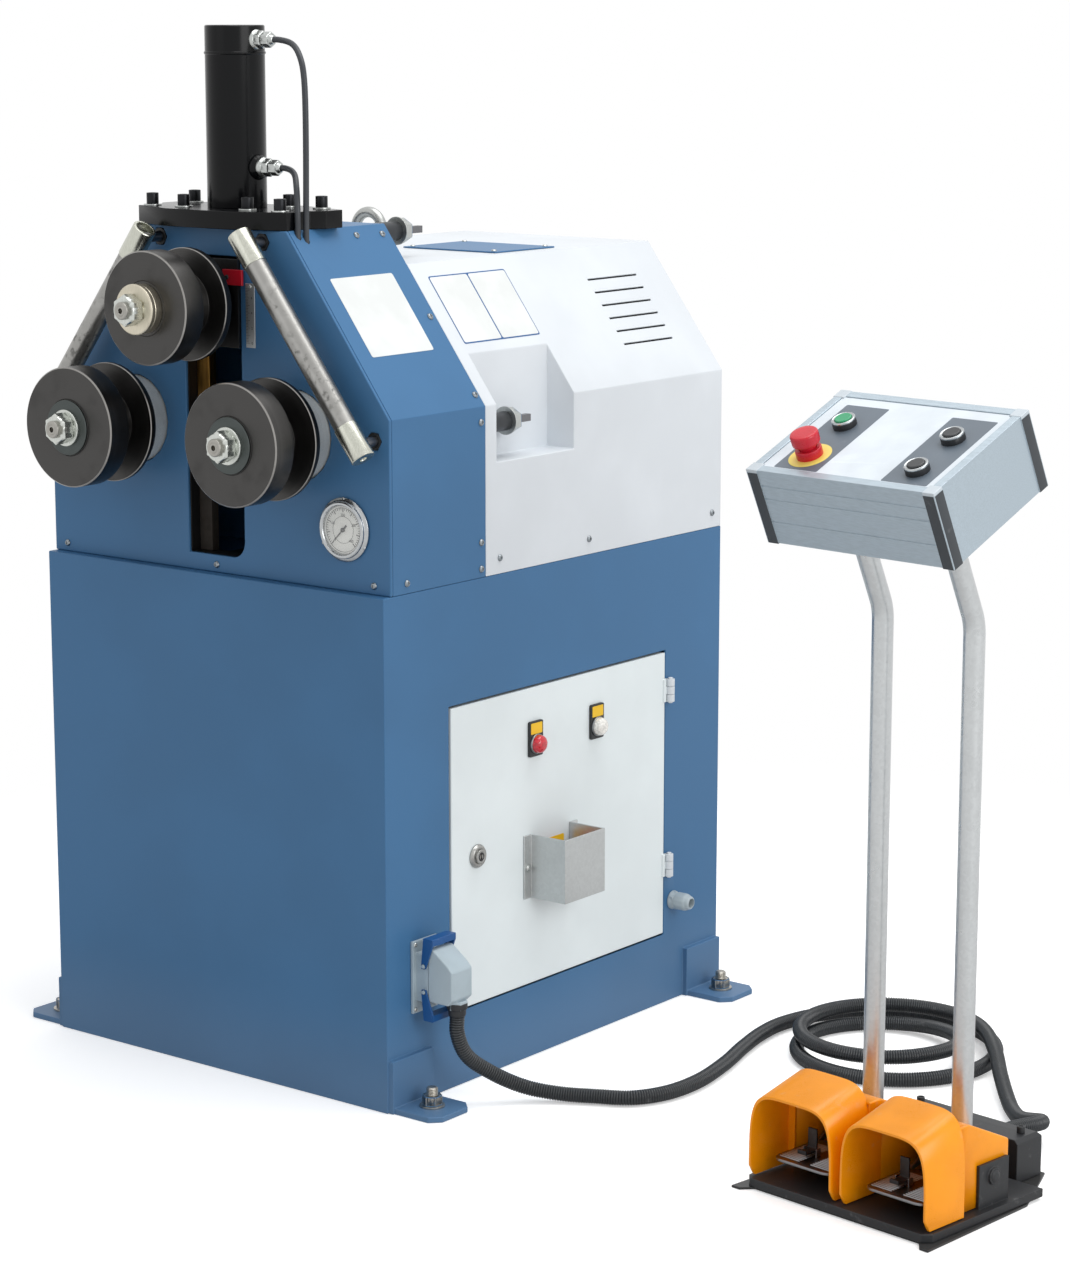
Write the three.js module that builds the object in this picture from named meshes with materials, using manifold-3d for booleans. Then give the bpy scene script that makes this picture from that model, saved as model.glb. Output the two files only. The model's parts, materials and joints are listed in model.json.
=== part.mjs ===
import * as THREE from 'three';
import { mergeVertices } from 'three/addons/utils/BufferGeometryUtils.js';
import Module from 'manifold-3d';

const wasm = await Module();
wasm.setup();

// A three-roll hydraulic section bender with a pedestal console and a double foot switch.
// Millimetres. The origin is the centre of the cabinet's bottom, on the floor.
// +X is the door side, -Y is the front with the rolls, +Z is up.
// The head has a frame of its own: y is the depth behind its front, z is above the cabinet's top.
// What stands beside the cabinet is placed from its right front corner: out in X, along in Y.
// An outline of a plate that faces the front is drawn in X and Z.

// Clearances that all pieces share: a seated fit and a running fit. A cutting tool runs past a face
// by the overrun, and joined solids bite into each other. A bevel breaks a machined edge.
const seat = 0.3;
const running = 0.6;
const overrun = 3;
const bite = 1.5;
const bevel = 1.5;
const fullTurn = 2 * Math.PI;

// Faces round a full turn, by how large a round stretch is
const small = 6;
const medium = 10;
const large = 12;
const fine = 18;
const cornerSteps = 8;

// Cabinet
const cabinet = {
  halfWidth: 310, halfDepth: 383, height: 700, sheet: 4, topPlate: 8,
  cableHoleHalfWidth: 70, cableHoleFront: 190, cableHoleBack: 300,
};
const foot = {
  inset: 45, legWidth: 85, legHeight: 73, thickness: 8, plateReach: 80, plateWidth: 80,
  clippedCorner: 14, anchorReach: 40, studRadius: 8, studTop: 38,
  nutRadius: 13.8, nutHeight: 16,
};

// Door in the right side of the cabinet
const door = {
  frontInset: 136, backInset: 140, bottom: 108, top: 531, gap: 3, proud: 1, sheet: 2, depth: 20,
};
const hinge = {
  pinOut: 6.5, pinBehind: 7, knuckleRadius: 6, leafThickness: 3, leafWidth: 12, height: 34,
  centres: [212, 475], slack: 0.5,
};
const lock = {
  inset: 54, z: 317, rosetteRadius: 16.5, rosetteHeight: 5, insertRadius: 10, insertHeight: 8,
  edge: 2, keyHalfWidth: 2, keyDepth: 3, stemRadius: 7, camLength: 72, camHalfWidth: 9, camThickness: 3,
};
const lamp = {
  redFront: 64, whiteBack: 77, z: 452, halfWidth: 15, plateBottom: 434, plateTop: 484, plateThickness: 4,
  domeRadius: 11, domeHeight: 14, domeWaistShare: 0.5, domeShoulderShare: 0.85, domeCrownShare: 0.8,
  barrelRadius: 10.5, barrelDepth: 30,
};
const guard = {
  bottom: 233, top: 324, flangeFront: 89, channelFront: 74, channelBack: 18, flangeBack: 33,
  projection: 62, sheet: 2.5, screwZ: 277, screwRadius: 4.5, screwHeight: 2.5,
};
const isolator = {
  front: 28, z: 278, discRadius: 24, discHeight: 8, gripHalfWidth: 7, gripHeight: 22,
  stemRadius: 5, stemDepth: 30,
};

// Connector for the foot switch cable and the mains inlet, on the right side
const connector = {
  inset: 49, width: 52, bottom: 128, top: 228, plate: 4, bodyReach: 26, bodyHalfDepth: 20.5,
  bodyBottom: 146, bodyTop: 212, pegRadius: 3,
  pegReach: 5, pegOut: 21, pegOffset: 18, holeHalfDepth: 15, holeInset: 12,
};
const plug = {
  out: 68, bottom: 148, topBack: 222, topFront: 203, halfDepth: 21.5, edge: 8,
  glandOut: 56, glandBehind: 4, glandRadius: 11.5, glandBottom: 128.3, glandNutHeight: 9,
};
const lever = {
  thickness: 2.5, armWidth: 7, barOut: 34, barOffset: 52, barHalfHeight: 5, barDepth: 9,
};
const inlet = {
  inset: 115, z: 154, boreRadius: 7, shankRadius: 10, flangeRadius: 14, flangeLength: 6,
  domeRadius: 11.5, length: 35, nutLength: 6, shankInside: 12, edge: 3,
};

// Head: the roll stand above the cabinet
const head = {
  inset: 15, blueBack: 198, shoulder: 231, topWidthShare: 0.4371, top: 466,
  frontSheet: 5, sideSheet: 3, plate: 30, rearPlateFront: 173, rearPlateBack: 193, wall: 12,
  base: 12,
};
const slot = { left: -50, right: 53, bottom: 24, top: 429, cornerRadius: 22 };
const strip = { front: 21.5, bronzeRight: -27, steelLeft: 35 };
const gear = {
  wheelTeeth: 26, pinionTeeth: 11, front: 198, back: 228,
  tipShare: 0.8, rootShare: 1.15, tipHalfShare: 0.27, rootHalfShare: 0.86,
};

// Rolls
const roll = {
  front: -127, frontBack: -91, rearFront: -51, rearBack: -37, hubRadius: 44,
  upperRadius: 75, lowerRadius: 81, upperDisc: 11, lowerDisc: 8, edge: 2.5,
};
const lower = { inset: 162, z: 199, bossRadius: 60, bossGap: 1.5, shaftRadius: 25, shaftBack: 236 };
const upper = { z: 367, shaftRadius: 20, shaftBack: 68 };
const lowerEnd = { collarRadius: 30, collar: 4.5, nutRadius: 20.8, nut: 20, stud: 8, studRadius: 11 };
const upperEnd = { collarRadius: 31, collar: 20, nutRadius: 21.5, nut: 18, stud: 8, studRadius: 11.5 };
const studHole = { radius: 4.5, depth: 7 };
const nutChamfer = 3;

// Upper roll carriage and its cylinder
const carriage = {
  bottom: 308, top: 426, front: -4, guideBack: 78,
  pointerLeft: 28, pointerRight: 62, pointerBottom: 392, pointerTop: 412, pointerThickness: 3,
};
const cylinder = {
  y: 54, outerRadius: 53, boreRadius: 40.2, length: 240, cap: 14,
  weldBelow: 35, weldHeight: 5, weldRadius: 54.4, rodRadius: 22.5, pistonRadius: 39.6,
  pistonBelow: 22, pistonHeight: 26, lowerPortAbove: 54, upperPortBelow: 19, portRadius: 4,
};
const topPlate = {
  thickness: 24, centreY: 52, frontY: -25, frontHalf: 57, cornerInset: 0.5, cornerY: 3,
  stepY: 48, sideOut: 14.5, sideFrontY: 64, sideBackY: 96, backHalf: 57, backY: 128,
  innerBoltX: 58, outerBoltInset: 19.5, boltY: 41, boltRadius: 8.2, boltHeight: 17,
};
const pipe = {
  radius: 4, bossRadius: 14, bossTaper: 3, bossEnd: 64, nutRadius: 11, nutEnd: 80, smallNutRadius: 9.2,
  smallNutEnd: 94, below: 24, lowerOut: 4, lowerY: 19, upperOut: 8, upperY: 31,
  bend: 42, sides: 6, steps: 20,
};

// Lateral guide bars
const bar = {
  y: -36, radius: 16, upperInset: 50.5, upperZ: 463, lowerInset: 13, lowerZ: 184,
  rodRadius: 7, rodHole: 7.6, upperRodInset: 42.5, upperRodZ: 450, lowerRodInset: 26, lowerRodZ: 202,
  coverHole: 11, bushRadius: 15, bushBack: 276, nutBack: 290, nutRadius: 17.3, end: 323,
  squareHalf: 4.9, squareFront: 292, edge: 1,
  hollowRadius: 12, hollowDepth: 16,
};

// Small pieces of the head
// Where a pipe passes between its fitting and its straight run: shares in X, Y and of the bend in Z
const pipeRouteShares = [[0.15, 0, 0], [0.55, 0.3, 0.14], [0.85, 0.75, 0.55], [1, 1, 1.2]];
const gauge = {
  inset: 77, z: 82, flangeRadius: 42.5, flange: 5, bezelRadius: 38, bezel: 4, caseRadius: 31,
  caseDepth: 30, dialRadius: 32, dialDepth: 5, hubRadius: 3, needleWidth: 2.2, needleLength: 26,
  needleTail: 8, needleThickness: 1, needleTipShare: 0.25, restTurnShare: 0.625,
};
const scale = { left: 64, right: 80, bottom: 310, top: 395, thickness: 2 };

// Rear cover
const rear = {
  roofDrop: 53, sheet: 2.5, recessInset: 48, recessFront: 222, recessBack: 393,
  recessBottom: 153, bushHole: 16.5, ventLength: 118, ventInset: 73, ventWidth: 6, ventCount: 6,
  ventDrop: 42, ventRun: 88, ventCutDepth: 20, hatchHoleInset: 14,
};
const hatch = { left: -18, right: 151, front: 418, back: 555, thickness: 2 };
const eye = {
  y: 323, ringRadius: 24, sectionRadius: 7.5, collarRadius: 17.5, collarHeight: 8,
  collarTopShare: 0.6, shankRadius: 8, shankDrop: 29, height: 64,
};
const beam = { halfWidth: 30, thickness: 14, back: 358, below: 4 };

// Drive and power inside
const motor = {
  shaftRadius: 15, shaftFront: 178, shaftBack: 270, boxHalf: 75, boxFront: 250, boxBack: 438,
  bodyRadius: 68, bodyInset: 121, standHalfWidth: 62,
  standFront: 268, standBack: 420, standPlate: 12, boxTopAbove: 85, terminalHalf: 38,
  terminalLength: 80, terminalInset: 62, terminalTop: 104, cowlRadius: 78, cowlLength: 40,
};
const power = {
  sideGap: 160, front: 20, length: 250, tankTop: 214, lid: 6, lidOver: 8, motorX: -40, motorAlong: 125,
  motorRadius: 70, motorTop: 450, bell: 40, bellShare: 0.7, crownShare: 0.9, valveInset: 60,
  valveHalf: 35, valveTop: 300, fillerInset: 90, fillerAlong: 210, fillerRadius: 20, fillerTop: 245,
};
const panel = {
  inset: 34, thickness: 3, front: -200, back: 200, bottom: 120, top: 560, standoff: 7,
  railHalf: 17.5, railDepth: 8, railZs: [250, 440], deviceDepth: 75, deviceHalf: 40,
  deviceWidths: [60, 90, 130], deviceGap: 14, deviceStart: -165,
};

// Pedestal group, in its own frame: u across, v to the back, z up
const pedestal = {
  out: 693.9, along: 208.2, turnAngle: -7.04, tubeX: 70.5, tubeRadius: 13.45,
  bendHeight: 728, tiltAngle: 24.7, upperLength: 137.5, bendRadius: 70, bendSteps: 4, tubeSides: 12,
};
const sheet = {
  thickness: 3, earX: 156, earFront: -172, frontEdge: -157, earWidth: 26, sideX: 148, sideBack: 35,
  backX: 96, back: 142,
};
const switchBase = {
  halfWidth: 146, front: -160, back: 70, height: 11, corner: 10,
  bracketFront: -47, bracketBack: 12, bracketTop: 70, bracketGap: 0.5, bracketThickness: 5,
  bossV: -20, bossZ: 52, bossRadius: 11, bossHeight: 4,
};
const hood = {
  centre: 73.5, halfWidth: 67, front: -158, mouthBack: -83, bottom: 16, frontCrown: 128,
  frontShoulder: 116, rearCrown: 147, rearShoulder: 136, corner: 32, wall: 4, chamferHeight: 14,
  chamferDepth: 9, outerSide: 56.5, housingTop: 126, housingLow: 89, housingBendV: -62, back: 18,
  arcSteps: 4, crownSteps: 4, tubeGap: 1,
};
const pedal = {
  halfWidth: 47, front: -138, back: -44, top: 41, thickness: 4, ribHeight: 1.6, ribWidth: 2.4,
  ribCount: 6, skirt: 6, pinRadius: 3, armThickness: 4, armHalfHeight: 6, armRear: -14,
};
const latch = {
  offset: -14, halfWidth: 7, pivotV: -98, pivotZ: 47, pinRadius: 2, top: 76, thickness: 3,
  toe: -118, toeHeight: 5, eyeRadius: 4.5, lugOffset: 10, lugHalf: 1,
};
const box = {
  halfWidth: 96, front: 82, back: 139.7, top: 60, topInset: 5, boltU: 80, boltV: 110,
  boltRadius: 4.5, boltHeight: 8, hoseU: 26, hoseZ: 38, collarRadius: 14, collarLength: 6,
};
const desk = {
  width: 282, depth: 192, height: 102.5, rearShift: 12, wall: 3, rim: 12, lidGap: 0.4, lid: 3,
  lidDrop: 1.5, ledge: 5, trimWidth: 16, trimProud: 1.2, ribDepth: 1, ribWidth: 2,
  ribZs: [30, 62, 80],
};
const button = {
  radius: 10.8, bore: 11.1, bezelRadius: 14.5, bezelHeight: 4, proud: 3, stem: 24, edge: 1,
  startU: -79, startT: 22, upU: 88, upT: 18, downU: 88, downT: -54,
};
const stop = {
  u: -78, t: -50, collarRadius: 15.5, collarHeight: 11, capRadius: 20, capBottom: 19, capTop: 33,
  stemRadius: 10.8, rim: 4, shoulder: 7, crown: 2, waistShare: 0.85, crownShare: 0.5,
};

// Corrugated hose on the floor: its free points are chosen by hand, its coil is a spiral
const hose = {
  radius: 10.5, rootRadius: 9.2, boreRadius: 7, ribs: 106, sides: 8, boreSides: 6, straight: 24,
  floorLift: 0.4, layer: 22.8, lengthSteps: 2400, neighbourShare: 8,
  drop: [[63, 90, 72], [83, 117, 45], [114, 151, 22], [152, 180, 12.5]],
  floorPath: [[195, 205], [235, 228], [260, 271], [267, 335], [253, 423], [231, 503], [217, 568]],
  returnPath: [[556, 645, 31], [595, 591, 22], [635, 538, 15], [672, 491, 14], [706, 455, 20]],
  riseBehind: 90, riseZ: 31,
};
const coil = {
  out: 392, along: 623, entryRadius: 178, innerRadius: 100, exitRadius: 140, inTurns: 1.1,
  climbTurns: 0.5, outTurns: 0.79, pointsPerTurn: 16,
};

// Colours
const paints = {
  blue: ['#3f6690', 0.45, 0.2], white: ['#dcdedd', 0.5, 0.05], black: ['#1d1f22', 0.45, 0.2],
  steel: ['#8f8f8c', 0.35, 0.9], darkSteel: ['#55585b', 0.4, 0.8], bright: ['#c9c9c6', 0.25, 1],
  zinc: ['#b4b8ba', 0.35, 0.9], bronze: ['#8a5a35', 0.4, 0.8], red: ['#b3161d', 0.4, 0],
  amber: ['#f59a12', 0.4, 0], plastic: ['#222326', 0.55, 0], light: ['#b9cdd4', 0.5, 0],
  levers: ['#1d4f94', 0.45, 0], green: ['#1f9a4a', 0.4, 0], lens: ['#e8e6df', 0.2, 0],
  lensRed: ['#a81c1c', 0.2, 0], aluminium: ['#b9bdc1', 0.4, 0.8], rubber: ['#2a2d30', 0.6, 0],
  grey: ['#6d7073', 0.5, 0.3],
};

// Solids: each helper gives a manifold solid, and piece() makes the named mesh

function faceOut(geometry) {
  const position = geometry.attributes.position;
  const index = geometry.index.array;
  const a = new THREE.Vector3();
  const b = new THREE.Vector3();
  const c = new THREE.Vector3();
  let volume = 0;
  for (let i = 0; i < index.length; i += 3) {
    a.fromBufferAttribute(position, index[i]);
    b.fromBufferAttribute(position, index[i + 1]);
    c.fromBufferAttribute(position, index[i + 2]);
    volume += a.dot(b.cross(c));
  }
  if (volume > 0) return index;
  return index.map((value, i) => (i % 3 === 1 ? index[i + 1] : i % 3 === 2 ? index[i - 1] : value));
}

function solid(geometry) {
  const bare = new THREE.BufferGeometry();
  bare.setAttribute('position', geometry.attributes.position.clone());
  if (geometry.index) bare.setIndex(geometry.index.clone());
  const merged = mergeVertices(bare);
  const index = faceOut(merged);
  const kept = [];
  for (let i = 0; i < index.length; i += 3) {
    const [a, b, c] = [index[i], index[i + 1], index[i + 2]];
    if (a !== b && b !== c && c !== a) kept.push(a, b, c);
  }
  return new wasm.Manifold(new wasm.Mesh({
    numProp: 3,
    vertProperties: new Float32Array(merged.attributes.position.array),
    triVerts: new Uint32Array(kept),
  }));
}

function join(first, ...others) {
  return others.reduce((sum, next) => sum.add(next), first);
}

function cut(first, ...tools) {
  return tools.reduce((rest, tool) => rest.subtract(tool), first);
}

function geometryOf(body) {
  const mesh = body.getMesh();
  const geometry = new THREE.BufferGeometry();
  geometry.setAttribute('position', new THREE.BufferAttribute(new Float32Array(mesh.vertProperties), 3));
  geometry.setIndex(new THREE.BufferAttribute(new Uint32Array(mesh.triVerts), 1));
  geometry.computeVertexNormals();
  return geometry;
}

function piece(name, paint, body) {
  const [color, roughness, metalness] = paints[paint];
  const material = new THREE.MeshStandardMaterial({ color, roughness, metalness });
  const mesh = new THREE.Mesh(body.isBufferGeometry ? body : geometryOf(body), material);
  mesh.name = name;
  return mesh;
}

function block(x0, x1, y0, y1, z0, z1) {
  const geometry = new THREE.BoxGeometry(x1 - x0, y1 - y0, z1 - z0);
  return solid(geometry.translate((x0 + x1) / 2, (y0 + y1) / 2, (z0 + z1) / 2));
}

const basis = {
  x: new THREE.Matrix4().makeBasis(
    new THREE.Vector3(0, 1, 0), new THREE.Vector3(0, 0, 1), new THREE.Vector3(1, 0, 0)),
  y: new THREE.Matrix4().makeBasis(
    new THREE.Vector3(1, 0, 0), new THREE.Vector3(0, 0, 1), new THREE.Vector3(0, -1, 0)),
  z: new THREE.Matrix4(),
};

// A plate along one axis: its outline is in the other two axes, in the order XYZ
function plate(axis, outline, from, to) {
  const isShape = outline instanceof THREE.Shape;
  const shape = isShape ? outline : new THREE.Shape(outline.map(([a, b]) => new THREE.Vector2(a, b)));
  const geometry = new THREE.ExtrudeGeometry(shape, { depth: to - from, bevelEnabled: false,
    curveSegments: cornerSteps });
  geometry.applyMatrix4(basis[axis]);
  const shift = { x: [from, 0, 0], y: [0, to, 0], z: [0, 0, from] }[axis];
  return solid(geometry.translate(...shift));
}

// A bar or cone along one axis, centred at a and b in the other two axes
function round(axis, radius, from, to, a, b, sides = medium, endRadius = radius, turnShare = 0) {
  const start = (fullTurn * turnShare) / sides;
  const geometry = new THREE.CylinderGeometry(endRadius, radius, to - from, sides, 1, false, start);
  const middle = (from + to) / 2;
  if (axis === 'x') geometry.rotateZ(-Math.PI / 2).translate(middle, a, b);
  if (axis === 'y') geometry.translate(a, middle, b);
  if (axis === 'z') geometry.rotateX(Math.PI / 2).translate(a, b, middle);
  return solid(geometry);
}

// The corner radius of a many-sided hole whose flats lie at a radius
function around(radius, sides) {
  return radius / Math.cos(Math.PI / sides);
}

// A cutting bar for a hole: its flats lie at the radius and face the corners of the bar in the hole
function bore(axis, radius, from, to, a, b, sides = medium) {
  const corner = around(radius, sides);
  return round(axis, corner, from, to, a, b, sides, corner, 0.5);
}

// A turned body: the profile is a list of [radius, place along the axis]
function turned(axis, profile, a, b, sides = large) {
  const points = profile.map(([radius, along]) => new THREE.Vector2(radius, along));
  const geometry = new THREE.LatheGeometry(points, sides);
  if (axis === 'x') geometry.rotateZ(-Math.PI / 2).translate(0, a, b);
  if (axis === 'y') geometry.translate(a, 0, b);
  if (axis === 'z') geometry.rotateX(Math.PI / 2).translate(a, b, 0);
  return solid(geometry);
}

function nut(axis, radius, from, to, a, b) {
  return round(axis, radius, from, to, a, b, 6);
}

// A nut whose outer face looks to the front
function frontNut(radius, from, to, a, b) {
  const hexagon = round('y', radius, from, to, a, b, 6);
  const inner = radius - nutChamfer / 2;
  const cone = turned('y', [[0, from], [inner, from], [radius + overrun, from + nutChamfer],
    [radius + overrun, to + overrun], [0, to + overrun]], a, b, medium);
  return hexagon.intersect(cone);
}

// Rings of points, one after another, closed with a fan at each end
function loft(rings) {
  const count = rings[0].length;
  const vertices = rings.flat();
  const faces = [];
  for (let r = 0; r < rings.length - 1; r += 1) {
    for (let i = 0; i < count; i += 1) {
      const next = (i + 1) % count;
      const a = r * count + i;
      const b = r * count + next;
      faces.push(a, b, a + count, b, b + count, a + count);
    }
  }
  for (const r of [0, rings.length - 1]) {
    const middle = new THREE.Vector3();
    rings[r].forEach(([x, y, z]) => middle.add(new THREE.Vector3(x, y, z)));
    middle.divideScalar(count);
    const hub = vertices.push(middle.toArray()) - 1;
    for (let i = 0; i < count; i += 1) {
      const next = (i + 1) % count;
      if (r === 0) faces.push(hub, r * count + next, r * count + i);
      else faces.push(hub, r * count + i, r * count + next);
    }
  }
  const geometry = new THREE.BufferGeometry();
  geometry.setAttribute('position', new THREE.Float32BufferAttribute(vertices.flat(), 3));
  geometry.setIndex(faces);
  return solid(geometry);
}

function tube(points, radius, sides, steps) {
  const spots = points.map((p) => new THREE.Vector3(...p));
  const curve = new THREE.CatmullRomCurve3(spots, false, 'centripetal');
  const section = new THREE.Shape();
  for (let i = 0; i < sides; i += 1) {
    const angle = (fullTurn * i) / sides;
    const spot = [radius * Math.cos(angle), radius * Math.sin(angle)];
    if (i === 0) section.moveTo(...spot);
    else section.lineTo(...spot);
  }
  section.closePath();
  return solid(new THREE.ExtrudeGeometry(section, { extrudePath: curve, steps, bevelEnabled: false }));
}

function mirrored(sign, x0, x1) {
  return sign > 0 ? [x0, x1] : [-x1, -x0];
}

// Places that follow from the sizes
const cabinetFront = -cabinet.halfDepth;
const doorFront = cabinetFront + door.frontInset;
const doorBack = cabinet.halfDepth - door.backInset;
const doorMiddle = (doorFront + doorBack) / 2;
const doorFace = cabinet.halfWidth + door.proud;
const doorInner = doorFace - door.depth;
const pinX = cabinet.halfWidth + hinge.pinOut;
const pinY = doorBack + hinge.pinBehind;
const lockY = doorFront + lock.inset;
const switchY = doorMiddle - isolator.front;
const lampYs = [doorMiddle - lamp.redFront, doorMiddle + lamp.whiteBack];
const inletY = cabinet.halfDepth - inlet.inset;
const connectorFront = cabinetFront + connector.inset;
const connectorY = connectorFront + connector.width / 2;
const connectorZ = (connector.bodyBottom + connector.bodyTop) / 2;
const pegX = cabinet.halfWidth + connector.pegOut;
const handleX = cabinet.halfWidth + lever.barOut;
const plugTip = cabinet.halfWidth + plug.out;
const glandX = cabinet.halfWidth + plug.glandOut;
const glandY = connectorY + plug.glandBehind;
const headBack = 2 * cabinet.halfDepth - head.inset;
const topHalf = cabinet.halfWidth * head.topWidthShare;
const roof = head.top - rear.roofDrop;
const lowerX = cabinet.halfWidth - lower.inset;
const gearModule = (2 * lowerX) / (gear.wheelTeeth + gear.pinionTeeth);
const cylinderBottom = head.top + topPlate.thickness;
const cylinderTop = cylinderBottom + cylinder.length;
const lowerPortZ = cylinderBottom + cylinder.lowerPortAbove;
const upperPortZ = cylinderTop - cylinder.upperPortBelow;
const pipeBottom = head.top - pipe.below;
const lowerPipe = [topHalf + pipe.lowerOut, pipe.lowerY];
const upperPipe = [topHalf + pipe.upperOut, pipe.upperY];
const gaugeX = cabinet.halfWidth - gauge.inset;
const pedestalX = cabinet.halfWidth + pedestal.out;
const pedestalY = cabinetFront + pedestal.along;

// The head's front outline, drawn inward by a distance, between two heights
const slopeRun = topHalf - cabinet.halfWidth;
const slopeRise = head.top - head.shoulder;
const slopeLength = Math.hypot(slopeRun, slopeRise);
const normalX = slopeRise / slopeLength;
const normalZ = -slopeRun / slopeLength;

function slopeX(z, inset) {
  return cabinet.halfWidth - (inset + normalZ * (z - head.shoulder)) / normalX;
}

function kneeZ(inset) {
  return head.shoulder - (inset * (1 - normalX)) / normalZ;
}

function headOutline(inset, low, high) {
  const side = cabinet.halfWidth - inset;
  const top = slopeX(high, inset);
  return [[-side, low], [side, low], [side, kneeZ(inset)], [top, high], [-top, high], [-side, kneeZ(inset)]];
}

const headBase = seat;
const frontPlateFront = head.frontSheet + seat;
const frontPlateBack = frontPlateFront + head.plate;
const frameInset = head.sideSheet + seat;
const barSides = [-1, 1];
const rodSpots = [[topHalf - bar.upperRodInset, bar.upperRodZ],
  [cabinet.halfWidth - bar.lowerRodInset, bar.lowerRodZ]];

function rodHoles(radius, from, to) {
  const holes = [];
  for (const side of barSides) {
    for (const [x, z] of rodSpots) holes.push(bore('y', radius, from, to, side * x, z, small));
  }
  return holes;
}

function slotHole(from, to) {
  const shape = new THREE.Shape();
  shape.moveTo(slot.left, slot.bottom);
  shape.lineTo(slot.right - slot.cornerRadius, slot.bottom);
  shape.absarc(slot.right - slot.cornerRadius, slot.bottom + slot.cornerRadius, slot.cornerRadius,
    -Math.PI / 2, 0, false);
  shape.lineTo(slot.right, slot.top);
  shape.lineTo(slot.left, slot.top);
  shape.closePath();
  return plate('y', shape, from, to);
}

// Cabinet

function anchor(x, y) {
  return join(
    nut('z', foot.nutRadius, foot.thickness - overrun, foot.thickness + foot.nutHeight, x, y),
    round('z', foot.studRadius, foot.thickness, foot.studTop, x, y, small));
}

function cabinetFoot(sideX, sideY) {
  const y = sideY * (cabinet.halfDepth - foot.inset);
  const outer = cabinet.halfWidth + foot.plateReach;
  const half = foot.plateWidth / 2;
  const clip = foot.clippedCorner;
  const inner = cabinet.halfWidth - cabinet.sheet / 2;
  const outline = [[inner, y - half], [outer - clip, y - half], [outer, y - half + clip],
    [outer, y + half - clip], [outer - clip, y + half], [inner, y + half]];
  const placed = outline.map(([x, b]) => [sideX * x, b]);
  const base = plate('z', placed, 0, foot.thickness);
  const [legLeft, legRight] = mirrored(sideX, inner, cabinet.halfWidth + foot.thickness);
  const legHalf = foot.legWidth / 2;
  const leg = block(legLeft, legRight, y - legHalf, y + legHalf, 0, foot.legHeight);
  return join(base, leg, anchor(sideX * (cabinet.halfWidth + foot.anchorReach), y));
}

function hingeKnuckle(from, to) {
  return round('z', hinge.knuckleRadius, from, to, pinX, pinY, small);
}

function cabinetHinge(centre) {
  const third = hinge.height / 6;
  const low = centre - hinge.height / 2;
  const high = centre + hinge.height / 2;
  const face = cabinet.halfWidth;
  const leaf = block(face - cabinet.sheet / 2, face + hinge.leafThickness, pinY + hinge.slack,
    pinY + hinge.leafWidth, low, high);
  const clear = bore('z', hinge.knuckleRadius + hinge.slack, centre - third - hinge.slack,
    centre + third + hinge.slack, pinX, pinY, small);
  return cut(join(leaf, hingeKnuckle(low, centre - third - hinge.slack),
    hingeKnuckle(centre + third + hinge.slack, high)), clear);
}

function baseCabinet() {
  const c = cabinet;
  const outside = block(-c.halfWidth, c.halfWidth, -c.halfDepth, c.halfDepth, 0, c.height);
  const inside = block(c.sheet - c.halfWidth, c.halfWidth - c.sheet, c.sheet - c.halfDepth,
    c.halfDepth - c.sheet, c.sheet, c.height - c.topPlate);
  const wallIn = c.halfWidth - c.sheet - overrun;
  const wallOut = c.halfWidth + overrun;
  const doorway = block(wallIn, wallOut, doorFront - door.gap, doorBack + door.gap,
    door.bottom - door.gap, door.top + door.gap);
  const cableHole = block(-c.cableHoleHalfWidth, c.cableHoleHalfWidth, c.cableHoleFront,
    c.cableHoleBack, c.height - c.topPlate - overrun, c.height + overrun);
  const inletHole = bore('x', inlet.shankRadius + seat, wallIn, wallOut, inletY, inlet.z, medium);
  const plugHole = block(wallIn, wallOut, connectorY - connector.holeHalfDepth,
    connectorY + connector.holeHalfDepth, connector.bodyBottom + connector.holeInset,
    connector.bodyTop - connector.holeInset);
  const shell = cut(outside, inside, doorway, cableHole, inletHole, plugHole);
  const feet = [];
  for (const sideX of barSides) {
    for (const sideY of barSides) feet.push(cabinetFoot(sideX, sideY));
  }
  return piece('base_cabinet', 'blue', join(shell, ...feet, ...hinge.centres.map(cabinetHinge)));
}

// Door and what it carries

function doorHinge(centre) {
  const third = hinge.height / 6;
  const low = centre - hinge.height / 2;
  const high = centre + hinge.height / 2;
  const leafBack = pinY - hinge.slack;
  const leaf = block(doorFace - door.sheet / 2, doorFace + hinge.leafThickness,
    pinY - hinge.leafWidth, leafBack, low, high);
  const room = hinge.knuckleRadius + hinge.slack;
  const lowRoom = bore('z', room, low - overrun, centre - third, pinX, pinY, small);
  const highRoom = bore('z', room, centre + third, high + overrun, pinX, pinY, small);
  return join(cut(leaf, lowRoom, highRoom), hingeKnuckle(centre - third, centre + third));
}

function cabinetDoor() {
  const tray = block(doorInner, doorFace, doorFront, doorBack, door.bottom, door.top);
  const hollow = block(doorInner - overrun, doorFace - door.sheet, doorFront + door.sheet,
    doorBack - door.sheet, door.bottom + door.sheet, door.top - door.sheet);
  const through = (radius, y, z) => bore('x', radius, doorInner - overrun, doorFace + overrun, y, z, medium);
  const holes = [
    through(lock.stemRadius + seat, lockY, lock.z),
    through(isolator.stemRadius + seat, switchY, isolator.z),
    ...lampYs.map((y) => through(lamp.barrelRadius + seat, y, lamp.z)),
  ];
  return piece('cabinet_door', 'white', join(cut(tray, hollow, ...holes), ...hinge.centres.map(doorHinge)));
}

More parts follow.
